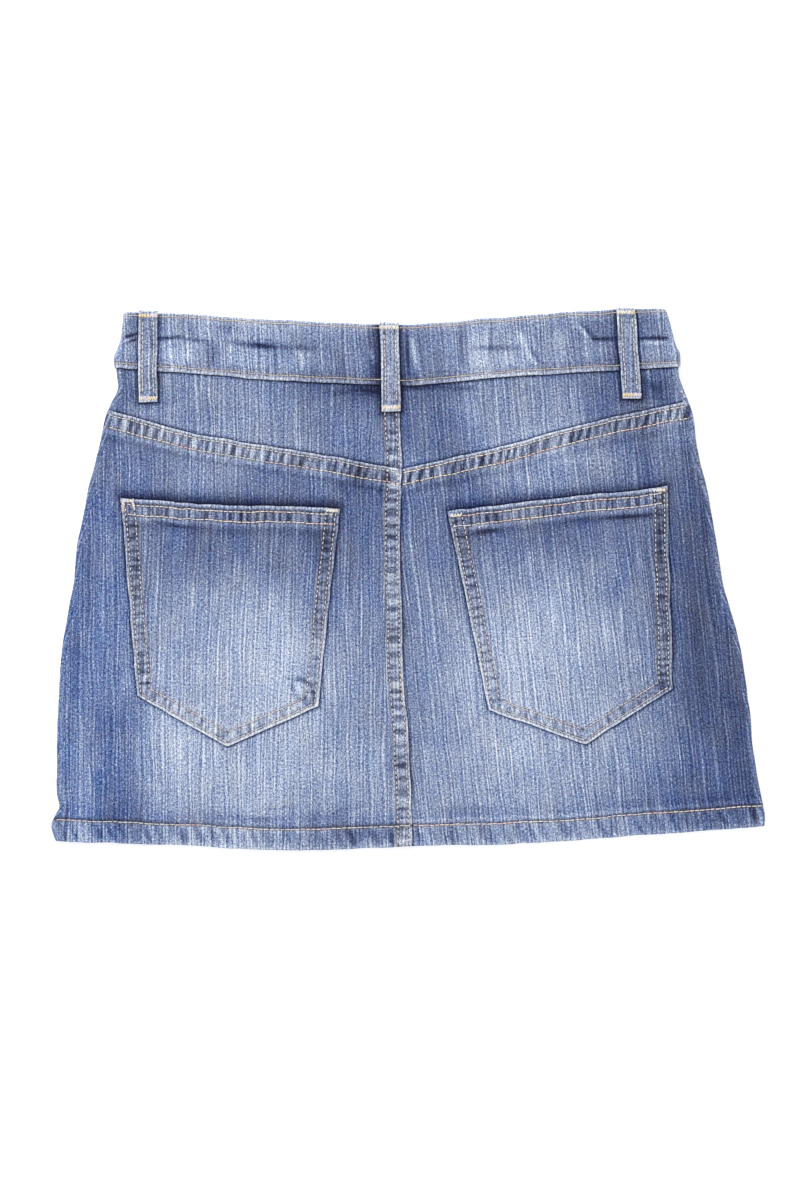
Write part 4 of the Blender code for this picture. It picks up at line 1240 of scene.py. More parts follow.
def make_back_piece(name):
    side, top_line, bottom_line = BACK_PIECES[name]
    sign, left, yoke = SIGN[side], side == "left", name.startswith("yoke")
    near = seam_places(*CENTRE_ROWS, 14.0) if left else (0.0, 0.1, CLEAR, 1.7, 2.9)
    share, fixed = spaced(near, GRID, HALF_WIDTH, (*ROUNDING, 1.8, 3.1))
    if yoke:
        up, rise = spaced((0.0, 3.0, UNDERLAP, UNDERLAP + 1.2), GRID * 0.9, 60.0,
                          (0.0, 4.0, HELD, HELD + 1.2))
        depth = np.zeros(len(up))
    else:
        up, rise, depth = hem_rows(GRID, 270.0, seam_places(*YOKE_ROWS, 14.0))
    up, rise, depth = (part[:, None] for part in (up, rise, depth))
    s = sign * np.linspace(0.0, 1.0, len(share))[None, :]
    # Where a point lies across depends on its height, and its height on where it lies across
    for _ in range(7):
        low, high = level(bottom_line, s), level(top_line, s)
        if yoke:
            low, high = low - UNDERLAP, high + HELD
        y = low + (high - low) * up + rise
        width = half_width(side, y)
        reach = width - SIDE_WRAP - 0.05
        out = reach * share + fixed
        if not left:
            # The first columns run on under the left piece, but not at the waist
            band = level("band", 0.0)
            start = -UNDERLAP + (UNDERLAP + GAP) * smooth(y[:, :1], band - 10.0, band - 6.0)
            out = np.concatenate((start, start * 0.5 + 0.3, out[:, 2:]), axis=1)
        s = np.clip(sign * out / width, -1.0, 1.0)
    x = centre_x(y) + sign * out
    z, tone = back_surface(name, x, y)
    place = np.stack((x, y, z - depth), axis=-1)
    drop = np.maximum(0.12 * round_edge(reach - out), round_edge(out) if left else 0.0)
    keep = None
    if not yoke:
        drop = np.maximum(drop, np.where(depth > 0, 0.0, round_edge(high - y)))
        if left:
            # The turned-up part stops short of the centre seam's overlap
            keep = (depth[:-1] <= FOLD * 1.2) | (out[:-1, 1:] >= LAP + 0.6)
    flip = np.where(depth > FOLD, -1.0, 1.0)
    weave = (x + LEAN.get(name, 0.0) * y + PIECE_SHIFT[name],
             low + (y - low) * flip + PIECE_SHIFT[name] * 0.37)
    lines = back_lines(name, x, y)
    seams = (smooth(seam_distance(x, y), 12.0, 9.0) * (not yoke)
             + smooth(centre_distance(x, y), 12.0, 8.0) * left)
    lines["grey"] = 0.16 * np.minimum(seams, 1.0) - ellipses(BLUES, x, y)
    if left:
        place, tone, drop, *weave = mirrored(place, tone, drop, *weave)
        keep = keep if keep is None else keep[:, ::-1]
        lines = {key: part[:, ::-1] for key, part in lines.items()}
    add_cloth(name, place, weave, tone, drop=drop, keep=keep, rests_on=("front_left", "front_right"),
              **lines)


def row_across(side, line, rise, front=False):
    """Path of a row of stitches that follows a line, from beside the centre out to the side."""
    heights, start = (front_level, 1.0) if front else (level, 0.3)
    part = np.linspace(0.0, 1.0, 300)
    y = np.full(len(part), float(level(line, 0.0)))
    for _ in range(8):
        reach = half_width(side, y) if front else np.abs(body_edge(side, y) - centre_x(y)) - 0.7
        x = centre_x(y) + SIGN[side] * (start + (reach - start) * part)
        y = heights(line, place_across(x, y)) + rise
    return x, y


def panel_stitches(name):
    side = name.split("_")[1]
    cool = side == "left"
    runs = []

    def height(x, y):
        """Height of the panel, and of the front's side fold beside it."""
        radius = fold_radius(side, y)
        past = SIGN[side] * (x - body_edge(side, y)) + radius
        bend = np.clip(past, 0.0, radius)
        fold = front_base(SIGN[side], y) + radius + np.sqrt(radius * radius - bend * bend)
        return np.where(past > -SIDE_WRAP, fold, back_surface(name, x, y)[0])

    if name.startswith("back"):
        for number, row in enumerate(YOKE_ROWS):
            path = lie_on(*row_across(side, "yoke", -row * SLANT), height)
            runs += stitches(*path, seed=100 + number, margin=0.1, cool=cool)
        path = lie_on(*row_across(side, "hem", HEM_ROW), height)
        runs += stitches(*path, seed=110, margin=0.1, cool=cool, **HEM_STITCH)
        low, high = level("hem", 0.0) + 1.0, level("yoke", 0.0) - 0.6
    else:
        low, high = level("yoke", 0.0) + 1.2, level("band", 0.0) - 1.0
    if side == "left":
        for number, row in enumerate(CENTRE_ROWS):
            y = np.linspace(low, high + row * 0.22, 300)
            runs += stitches(*lie_on(centre_x(y) - row, y, height), seed=120 + number, **DASHES)
    return [sew(f"{name}_stitches", runs, THREADS)] if runs else []


# ---------------------------------------------------------------------------------------------
# Pockets


def pocket_surface(name, x, y):
    """Height of a pocket's outer face, its tone, and the distance in from its edge."""
    top, inside, along = pocket_distances(name, x, y)
    seed = 200 if name == "pocket_left" else 300
    edge = np.minimum(top, inside)
    mouth_wave, side_wave = bars(x, seed + 2, 5.2), bars(along, seed + 4, 6.2)
    mouth_rows, side_rows = between_rows(top, MOUTH_ROWS), between_rows(inside, POCKET_ROWS)
    doubled = smooth(top, MOUTH_ROWS[1] + 1.6, MOUTH_ROWS[1] - 0.4)
    turned = smooth(inside, POCKET_ROWS[1] + 1.6, POCKET_ROWS[1] - 0.4)
    ends, off_mouth = smooth(inside, 1.0, 6.0), smooth(top, 2.0, 9.0)
    fold = creases(POCKET_CREASES, x, y)
    height = back_surface("back_" + POCKETS[name][0], x, y)[0] + CLOTH + 0.15 + fold
    height = height + smooth(edge, 3.0, 42.0) * (
        0.75 + 0.5 * noise(x, y, 34.0, 40.0, seed) + 0.18 * noise(x, y, 12.0, 15.0, seed + 1))
    height = height + 0.55 * doubled * ends + 0.16 * turned * (1 - doubled)
    height = height + 0.45 * ridge(top, 14.0) * smooth(inside, 6.0, 45.0)
    height = height + (0.28 * mouth_wave * mouth_rows + stitch_dents(top, MOUTH_ROWS)) * ends
    height = height + (0.20 * side_wave * side_rows + stitch_dents(inside, POCKET_ROWS, 0.24)) * off_mouth
    low = foot(y)
    # Painted light on the creases' ridges and painted shade in their troughs
    tone = back_tone(x, y) + 0.38 * fold + (0.28 * mouth_wave + 0.03) * mouth_rows * ends
    # Painted shadow: a dark line between the top edge and the first row; below the second row, paler and
    # then darker, as painted light and shade of a small fold
    tone = tone - 0.14 * ridge(top - 2.9, 0.9) * ends
    tone = tone + 0.10 * ridge(top - 12.6, 1.3) - 0.07 * ridge(top - 16.6, 3.5)
    tone = tone + (0.18 * side_wave - 0.05 + 0.05 * low) * side_rows * off_mouth
    return height, tone - (0.035 - 0.05 * low) * ridge(inside - 11.0, 2.4), edge


def make_pocket(name):
    side, _, _, low_right, point, low_left, _ = POCKETS[name]
    sides = seam_places(*POCKET_ROWS)
    across = spaced_part(sides, 128.0, sides)[None, :]
    lower = spaced_part(seam_places(*MOUTH_ROWS), 142.0, sides)[::-1, None]

    def between(start, end, part):
        return [a + (b - a) * part for a, b in zip(start, end)]

    top_x, top_y = mouth(name, across)
    top_y = top_y + ripple(name, top_x)
    left_half = between(low_left, point, np.minimum(across * 2, 1.0))
    right_half = between(point, low_right, np.maximum(across * 2 - 1, 0.0))
    low_x, low_y = (np.where(across <= 0.5, a, b) for a, b in zip(left_half, right_half))
    x = top_x + (low_x - top_x) * lower
    y = top_y + (low_y - top_y) * lower
    z, tone, edge = pocket_surface(name, x, y)
    top, inside, _ = pocket_distances(name, x, y)
    thickness = CLOTH + 0.8 * smooth(top, MOUTH_ROWS[1] + 2, MOUTH_ROWS[1])
    low = foot(y)
    rim, worn = nearest((top * 0.7, 0.22), (inside, 0.16 + 0.09 * low))
    row = np.minimum(from_rows(top, MOUTH_ROWS), from_rows(inside, POCKET_ROWS) + 3 * (top < 3.0))
    ribs = between_rows(top, MOUTH_ROWS) * smooth(inside, 1.0, 6.0)
    turned = between_rows(inside, POCKET_ROWS) * smooth(top, 9.0, 12.0)
    weave = (x + LEAN[name] * y + PIECE_SHIFT[name], y + PIECE_SHIFT[name] * 0.7)
    add_cloth(name, np.stack((x, y, z), axis=-1), weave, tone, thickness=thickness,
              drop=round_edge(edge), rests_on=("back_" + side,), edge=rim, worn=worn, row=row,
              grey=0.07 * smooth(edge, 11.0, 7.0), ribs=0.35 * ribs + 0.3 * turned * low,
              rungs=0.35 * turned * (1 - 0.6 * low))


def inset(points, distance):
    """Path a distance inside a path of straight stretches that turns right at its corners."""
    points = [np.array(point) for point in points]
    shifted = []
    for start, end in zip(points, points[1:]):
        way = (end - start) / np.linalg.norm(end - start)
        aside = np.array((way[1], -way[0])) * distance
        shifted.append((start + aside, way))
    path = [shifted[0][0]]
    for (a, u), (b, v) in zip(shifted, shifted[1:]):
        gap = b - a
        along = (gap[0] * v[1] - gap[1] * v[0]) / (u[0] * v[1] - u[1] * v[0])
        path.append(a + u * along)
    last, way = shifted[-1]
    path.append(last + way * np.linalg.norm(points[-1] - points[-2]))
    return path


def dense(path, step=1.0):
    """Points along a path, a step apart."""
    path = np.array(path)
    lengths = np.linalg.norm(np.diff(path, axis=0), axis=1)
    run = np.concatenate(([0.0], np.cumsum(lengths)))
    at = np.linspace(0.0, run[-1], int(run[-1] / step) + 2)
    return np.interp(at, run, path[:, 0]), np.interp(at, run, path[:, 1])


def pocket_stitches(name):
    _, top_left, top_right, low_right, point, low_left, _ = POCKETS[name]
    runs, tacks = [], []

    def height(x, y):
        return pocket_surface(name, x, y)[0]

    for number, row in enumerate(MOUTH_ROWS):
        x, y = mouth(name, np.linspace(0.015, 0.985, 150))
        runs += stitches(*lie_on(x, y - row + ripple(name, x), height), seed=210 + number, long=2.95)
    for number, row in enumerate(POCKET_ROWS):
        path = inset((top_right, low_right, point, low_left, top_left), row)
        for k, stretch in enumerate(zip(path, path[1:])):
            runs += stitches(*lie_on(*dense(stretch), height), seed=220 + 10 * number + k, margin=0.6,
                             **(DASHES if k in (0, 3) else LOW_STITCH))
    for corner, way in ((top_left, 1.0), (top_right, -1.0)):
        middle = (corner[0] + way * 5.2, corner[1] - 2.2, 0.0)
        tacks += bar_tack(middle, (0, 0, 1), (1, 0, 0), height, 7.4, 2.2, 240 + int(way))
    if name == "pocket_left":
        for out, down, along, long in ((1.9, 6.0, (0.0, 1.0, 0.0), 6.0),
                                       (8.6, 5.4, (0.26, -0.966, 0.0), 4.6)):
            middle = (top_left[0] + out, top_left[1] - down, 0.0)
            tacks += bar_tack(middle, (0, 0, 1), along, height, long, 1.7, 244)
    return [sew(f"{name}_stitches", runs, THREADS), sew(f"{name}_tacks", tacks, TACKS)]


# ---------------------------------------------------------------------------------------------
# Waistband


def band_back(s):
    """Height of the middle of the band's back."""
    return BAND_BACK_SIDE + (BAND_BACK_CENTRE - BAND_BACK_SIDE) * (1 - np.square(s))


def band_face(drop):
    """Distance of the band's face from its middle, at a drop below its top edge."""
    turn = np.sqrt(np.maximum(0.0, LEAF_OUT ** 2 - (LEAF_OUT - drop) ** 2))
    above_seam = BAND_HIGH - SEAM_HEIGHT - drop
    flat = LEAF_OUT + (SEAM_OUT - LEAF_OUT) * smooth(above_seam, FLARE, 0.0)
    return np.where(drop < LEAF_OUT, turn, flat)


def band_width(side, y):
    """Flat half width of the band's middle, and the radius of its turn at the side."""
    radius = (float(band_back(SIGN[side])) - BAND_FRONT) / 2
    return np.abs(band_edge(side, y) - curve(BAND_CENTRE, y)) - radius - SEAM_OUT, radius


def climb(out):
    """How far the band's right end rises to pass behind the left end."""
    return (SEAM_OUT + GAP + LEAF_OUT) * smooth(out, CLIMB, 0.0)


def band_place(where, part, drop, out):
    """Points of the folded strip, at drops below its top edge and distances out from its middle.

    part runs along the stretch that where names: across from -1 to 1 on the back and front, round the
    turn from 0 to 1 on the left and right, and in millimetres from the left end on the hidden right end.
    """
    if where in SIGN:
        s = SIGN[where]
        y = level("waist", s) - drop / BAND_HIGH * (level("waist", s) - level("band", s))
        width, radius = band_width(where, y)
        turn = math.pi * (part if where == "left" else 1 - part)
        x = curve(BAND_CENTRE, y) + s * (width + (radius + out) * np.sin(turn))
        z = BAND_FRONT + radius - (radius + out) * np.cos(turn)
        return np.stack(np.broadcast_arrays(x, y, z), axis=-1)
    s = part * 0.0 if where == "end" else part
    line = level if where == "back" else front_level
    y = line("waist", s) - drop / BAND_HIGH * (line("waist", s) - line("band", s))
    x = curve(BAND_CENTRE, y) + s * np.where(s < 0, band_width("left", y)[0], band_width("right", y)[0])
    if where == "back":
        z = band_back(s) + out
    elif where == "front":
        z = BAND_FRONT - out
    else:
        x = x - part
        behind = np.clip(out, -LEAF_OUT, LEAF_OUT)
        z = BAND_FRONT + climb(-part) - np.where(part >= 0, behind, out)
    return np.stack(np.broadcast_arrays(x, y, z), axis=-1)


def band_sections(first, last, half_count, turn_count, back_count):
    """The band's stretches from its left end at the centre front round to its right end."""
    half = np.linspace(0.0, 1.0, half_count)
    turn = np.linspace(0.0, 1.0, turn_count)[:-1]
    return [("front", -half[first:-1]), ("left", turn), ("back", np.linspace(-1.0, 1.0, back_count)[:-1]),
            ("right", turn), ("front", 1 - half[:-last])]


def band_relief(x, drop, seed):
    """Height and tone of the band's seams, at a drop below its top edge."""
    p = BAND_HIGH - drop
    low_wave, top_wave = bars(x, seed, 5.6), bars(x, seed + 2, 7.0)
    low = smooth(p, 8.6, 5.0) * smooth(p, 0.2, 1.2)
    top = smooth(drop, 7.0, 3.0) * smooth(drop, 0.2, 1.4)
    height = 0.20 * low_wave * low + 0.08 * top_wave * top
    height = height + stitch_dents(p, (BAND_ROWS[1],), 0.26) + stitch_dents(drop, (BAND_ROWS[0],), 0.22)
    # Painted shadow: a darker line above the lower row of stitches
    tone = (0.05 * low_wave + 0.02) * low + 0.02 * top_wave * top - 0.05 * ridge(p - 5.6, 1.6)
    return height, tone + 0.05 * smooth(drop, 7.0, 3.0)


def loop_middle(loops, name, y):
    top_x, top_y, low_x, low_y = loops[name]
    return low_x + (top_x - low_x) * (y - low_y) / (top_y - low_y)


def loop_shadow(x, y):
    """Painted shade beside the belt loops."""
    total = 0.0
    for name, strength in (("belt_loop_back_left", 0.04), ("belt_loop_back_centre", 0.15),
                           ("belt_loop_back_right", 0.05)):
        away = np.maximum(np.abs(x - loop_middle(BACK_LOOPS, name, y)) - LOOP_WIDTH / 2, 0.0)
        total = total - strength * ridge(away, 6.0) - 0.10 * ridge(away, 3.6)
    return total


def band_cloth(where, place, s, drop, outer):
    """Relief and tone of one stretch of the band."""
    x, y = place[..., 0], place[..., 1]
    height, tone = band_relief(x, drop, 500 if where == "back" else 520)
    ease_in = smooth(drop, 0.0, 1.5) * outer
    if where == "back":
        at_sides = smooth(np.abs(s), 1.0, 0.97)
        bend = (0.55 * noise(x, y, 44.0, 30.0, 531)
                + 0.34 * noise(x, y, 15.0, 13.0, 532) * smooth(drop, 3.0, 10.0))
        fold = creases(CREASES, x, y)
        height = height + 0.6 * bend + 0.75 * fold
        place[..., 2] += height * ease_in * at_sides + 0.25 * bend * (1 - outer)
        # Painted light on the creases' ridges and painted shade in their troughs
        tone = tone + BASE_TONE + ellipses(FADES_AND_SHADE, x, y) + loop_shadow(x, y) + 0.55 * fold
        tone = tone + 0.025 * noise(x, y, 26.0, 18.0, 533) + 0.05 * noise(x, y, 9.0, 12.0, 534)
    else:
        tone = tone + 0.60
        if where == "front":
            place[..., 2] -= np.minimum(height, 0.2) * ease_in
    return place, tone


def make_waistband():
    low_row, top_row = BAND_ROWS[1], BAND_ROWS[0]
    seam = seam_places(low_row - 1.0, low_row, low_row + 1.0, SEAM_HEIGHT, SEAM_HEIGHT + FLARE)
    share, fixed = spaced(seam, 1.3, BAND_HIGH, (LEAF_OUT, top_row - 0.7, top_row, top_row + 1.0))
    # Rows up the outer leaf, round the fold at the top, and down the inner leaf
    outer_drop = BAND_HIGH - (share * BAND_HIGH + fixed)
    turn = np.radians(np.arange(22.5, 90.1, 22.5))
    inner_turn = turn[:-1][::-1]
    inner_drop = np.array((LEAF_OUT, 5.0, 12.0, 19.0, BAND_HIGH - SEAM_HEIGHT - FLARE,
                           BAND_HIGH - SEAM_HEIGHT, BAND_HIGH - 4.0, BAND_HIGH))
    drop = np.concatenate((outer_drop, LEAF_OUT * (1 - np.sin(turn)),
                           LEAF_OUT * (1 - np.sin(inner_turn)), inner_drop))[:, None]
    out = np.concatenate((band_face(outer_drop), LEAF_OUT * np.cos(turn), -LEAF_OUT * np.cos(inner_turn),
                          -band_face(inner_drop)))[:, None]
    outer = (np.arange(len(drop)) < len(outer_drop)).astype(float)[:, None]
    sections = band_sections(0, 8, 86, 11, 260)
    back_middle = sum(len(part) for _, part in sections[:2]) + 129
    places, tones = [], []
    for where, part in (*sections, ("end", np.linspace(-CLIMB, EXTENSION, 26))):
        part = part[None, :]
        place, tone = band_cloth(where, band_place(where, part, drop, out), part, drop, outer)
        places.append(place)
        tones.append(np.broadcast_to(tone, place.shape[:2]))
    place, tone = np.concatenate(places, axis=1), np.concatenate(tones, axis=1)
    x, y, z = (place[..., axis] for axis in range(3))
    run = np.linalg.norm(np.diff(place[len(seam)], axis=0), axis=1)
    run = np.concatenate(([0.0], np.cumsum(run)))
    across = np.linalg.norm(np.diff(place, axis=1), axis=2)
    across = np.pad(np.cumsum(across, axis=1), ((0, 0), (1, 0)))
    across = across - across[:, back_middle:back_middle + 1] + 3500.0
    lean = (0.05 + 0.055 * smooth(x, -60.0, 60.0)) * (outer > 0)
    weave = (across - lean * drop, np.where(outer > 0, -drop, drop) + 90.0)
    # The buttonhole is in the left end
    hole = (np.abs(x - BUTTON_AT[0]) < 4.2) & (np.abs(y - BUTTON_AT[1]) < 3.2)
    hole = hole & (np.arange(place.shape[1])[None, :] < 40)
    keep = ~(hole[:-1, :-1] | hole[1:, 1:] | hole[1:, :-1] | hole[:-1, 1:])
    up = BAND_HIGH - drop
    lower = np.where(outer > 0, up, FAR)
    ends = np.minimum(run, run[-1] - run)[None, :]
    on_outside = np.broadcast_to(outer, tone.shape) > 0
    rim, worn = nearest((up * 0.8, 0.13), (drop * 0.6, 0.08))
    row = np.minimum(np.abs(drop - top_row), np.abs(up - low_row))
    worn_edges = np.maximum(smooth(up, 4.0, 3.0), smooth(drop, 3.4, 2.4)) * (outer > 0)
    # away paints shade on the band beside the belt loops
    add_cloth("waistband", place, weave, tone, thickness=LEAF, keep=keep, held="folded",
              drop=np.maximum(round_edge(lower), round_edge(ends)) * 0.9, edge=rim, worn=worn,
              away=np.where((z > 7.0) & on_outside, from_loops(x, y), FAR),
              row=np.where(on_outside, row, FAR), grey=0.16 * worn_edges,
              ribs=0.2 * smooth(up, 9.0, 4.0) * smooth(up, 1.5, 3.0),
              rests_on=("yoke_left", "yoke_right", "front_left", "front_right"))


def band_stitches():
    runs = []
    for number, drop in enumerate((BAND_ROWS[0], BAND_HIGH - BAND_ROWS[1])):
        points = []
        for where, part in band_sections(2, 9, 120, 12, 400):
            part, depth = part[None, :], np.full((1, 1), drop)
            place = band_place(where, part, depth, band_face(depth))
            points.append(band_cloth(where, place, part, depth, np.ones((1, 1)))[0][0])
        points = np.concatenate(points)
        normals = np.cross(np.gradient(points, axis=0), (0.0, 1.0, 0.0))
        normals /= -np.linalg.norm(normals, axis=1, keepdims=True)
        runs += stitches(points, normals, seed=540 + number)
    return [sew("waistband_stitches", runs, THREADS)]


# ---------------------------------------------------------------------------------------------
# Belt loops


def loop_line(name):
    """(y, height) points of a back loop's face along its length."""
    top_x, top_y, low_x, low_y = BACK_LOOPS[name]
    yoke = "yoke_right" if top_x > 0 else "yoke_left"
    edge = float(level("band", place_across(low_x, low_y)))
    heights = np.array((low_y, low_y + 4, edge - 8, edge - 3, edge + 0.5, edge + 3, edge + SEAM_HEIGHT,
                        edge + SEAM_HEIGHT + FLARE + 1, (edge + top_y) / 2 + 6, top_y - 5, top_y))
    under = loop_middle(BACK_LOOPS, name, heights)[:, None] + LOOP_WIDTH * np.array((-0.5, -0.2, 0.2, 0.5))
    y = np.broadcast_to(heights[:, None], under.shape)
    on_yoke = back_surface(yoke, under, y)[0].max(axis=1) + 0.2
    side = "left" if top_x < curve(BAND_CENTRE, top_y) else "right"
    s = np.clip((under - curve(BAND_CENTRE, y)) / band_width(side, y)[0], -1.0, 1.0)
    waist = level("waist", s)
    drop = (waist - np.maximum(y, edge + 1)) / (waist - level("band", s)) * BAND_HIGH
    on_band = (band_back(s) + band_face(np.maximum(drop, LEAF_OUT))).max(axis=1) + 0.25
    rests = np.where(np.arange(len(heights)) >= 3, on_band, on_yoke)
    return [(float(a), float(b)) for a, b in zip(heights, rests + 0.1 + LOOP_CLOTH)]


def make_loop(name, loops, face_up):
    top_x, top_y, _, low_y = loops[name]
    share, fixed = spaced((*ROUNDING, 1.7, 2.7), 0.9, LOOP_WIDTH, (*ROUNDING, 1.7, 2.9))
    across = (share * LOOP_WIDTH + fixed)[None, :]
    up, rise = spaced(ROUNDING, 1.0, top_y - low_y, ROUNDING)
    y = (low_y + up * (top_y - low_y) + rise)[:, None]
    edge = np.minimum(across, LOOP_WIDTH - across)
    ends = np.minimum(y - low_y, top_y - y)
    seed = 600 + sum(map(ord, name))
    puckers = bars(y + 40 * (across > LOOP_WIDTH / 2), seed, 4.4) * smooth(edge, 4.2, 2.0)
    height = 0.10 * puckers + stitch_dents(across, LOOP_ROWS, 0.22, 0.75)
    tone = 0.545 + 0.06 * puckers + 0.03 * smooth(edge, 2.4, 1.6) + 0.06 * smooth(ends, 5.0, 3.5)
    tone = tone + 0.07 * noise(across, y, 5.0, 9.0, seed + 5) - 0.06 * ridge(ends - 3.0, 3.0)
    x = loop_middle(loops, name, y) + (across - LOOP_WIDTH / 2) * (1.0 if face_up else -1.0)
    z = curve(loop_line(name), y) + height if face_up else np.maximum(-height - 0.1, 0.0)
    x, y, z = np.broadcast_arrays(x, y, z)
    under = ("waistband", "yoke_right" if top_x > 0 else "yoke_left") if face_up else ("floor",)
    rim, worn = nearest((edge * 1.1, 0.17), (ends, 0.24))
    row = from_rows(across, LOOP_ROWS) + 3.0 * (ends < 5.0)
    add_cloth(name, np.stack((x, y, z), axis=-1), (x + seed, y + seed * 2.0), tone,
              thickness=LOOP_CLOTH * 0.95, drop=round_edge(np.minimum(edge, ends)), grey=0.06,
              rests_on=under, edge=rim, worn=worn, row=row, rungs=0.15)


def loop_stitches(name, loops, face_up):
    _, top_y, _, low_y = loops[name]
    way = 1.0 if face_up else -1.0
    line = loop_line(name) if face_up else None
    runs, tacks = [], []

    def height(x, y, sunk=0.0):
        return curve(line, y) - sunk if face_up else np.full(np.shape(x), 0.6)

    y = np.linspace(low_y + 5.0, top_y - 5.5, 120)
    for number, row in enumerate(LOOP_ROWS):
        x = loop_middle(loops, name, y) + way * (row - LOOP_WIDTH / 2)
        path = lie_on(x, y, lambda x, y: height(x, y, 0.22), way)
        runs += stitches(*path, seed=620 + number, **LOOP_STITCH)
    for number, at in enumerate((low_y + 2.6, top_y - 3.2)):
        middle = (float(loop_middle(loops, name, at)), at, 0.0)
        tacks += bar_tack(middle, (0, 0, way), (1, 0, 0), height, LOOP_WIDTH - 0.6, 2.9,
                          640 + number + len(name))
    return [sew(f"{name}_stitches", runs, THREADS), sew(f"{name}_tacks", tacks, TACKS)]


# ---------------------------------------------------------------------------------------------
# The front, which lies underneath


FRONT_GRID = 2.5
TURN_STEPS = 10


def front_rise(x, y, s):
    """Slight unevenness of the front's face where it lies; it never goes below its level."""
    rise = 0.16 * (1 + noise(x, y, 30.0, 38.0, 71))
    hem = y - level("hem", s)
    quiet = smooth(np.abs(s), 1.0, 0.9) * smooth(np.abs(s), 0.1, 0.25) * smooth(hem, 18.0, 40.0)
    return rise * quiet + creases(FRONT_CREASES, x, y) + 0.5 * ridge(hem - HEM_ROW, 1.1)


def front_looks(side, place, depth, run, base, radius):
    """Tone, relief and lines of a front panel, which match the back where it comes round the fold."""
    x, y = place[..., 0], place[..., 1]
    at_fold = place[..., 2] - base
    back_side = smooth(at_fold, radius * 0.8, radius * 1.6)
    hem = y - level("hem", np.clip(x / 220.0, -1, 1))
    tone = BASE_TONE + ellipses(FRONT_FADES, x, y) - 0.2 * creases(FRONT_CREASES, x, y)
    tone = tone + 0.12 * ridge(hem - 0.8, 1.6) * (depth == 0)
    tone = tone + 0.06 * bars(run, 45, 7.5) * smooth(hem, 15.0, 12.0)
    worn = smooth(np.abs(run), 196.0, 201.0) * (1 - back_side)
    # What the back's edge shows there
    seam, hem = seam_distance(x, y), hem_distance(x, y)
    below_band = level("band", SIGN[side]) - y
    seam_height, seam_tone = yoke_relief(x, y)
    hem_height, hem_tone = hem_relief(x, y)
    side_height, side_tone = side_relief(x, y)
    height = np.where(seam > 0, seam_height + (STEP - 0.3) * seam_rise(x, y), 0.0)
    height = height + (hem_height + side_height) * (depth == 0)
    # Painted shade where the side fold turns: turned darkens the rounded part of the fold
    turned = np.clip(2.0 - at_fold / radius, 0.0, 1.0) * smooth(radius, 2.0, 5.0)
    strip = 0.03 * noise(y, 0.0, 5.0, 1.0, 47) + (0.015 if side == "right" else -0.01)
    edge_tone = back_tone(x, y) + strip + hem_tone + side_tone - 0.16 * turned
    edge_tone = edge_tone + np.where(seam > 0, seam_tone, above_seam(seam)) + painted_shade_under_band(below_band)
    upper = back_side > 0.5
    # away paints shade under the band's edge and above the yoke seam's edge, where the back's edge shows
    lines = {"away": np.where(upper & (seam < 0), np.minimum(-seam, np.maximum(below_band, 0.0)), FAR),
             "edge": np.where(upper & (seam > 0), seam, FAR),
             "row": np.where(upper, np.minimum(from_rows(seam, YOKE_ROWS), np.abs(hem - HEM_ROW)), FAR),
             "ribs": 0.35 * between_rows(seam, YOKE_ROWS) * upper,
             "grey": -ellipses(BLUES, x, y)}
    tone = tone + 0.06 * worn + (edge_tone - tone) * back_side
    return tone, height * smooth(at_fold, radius, radius * 2), lines


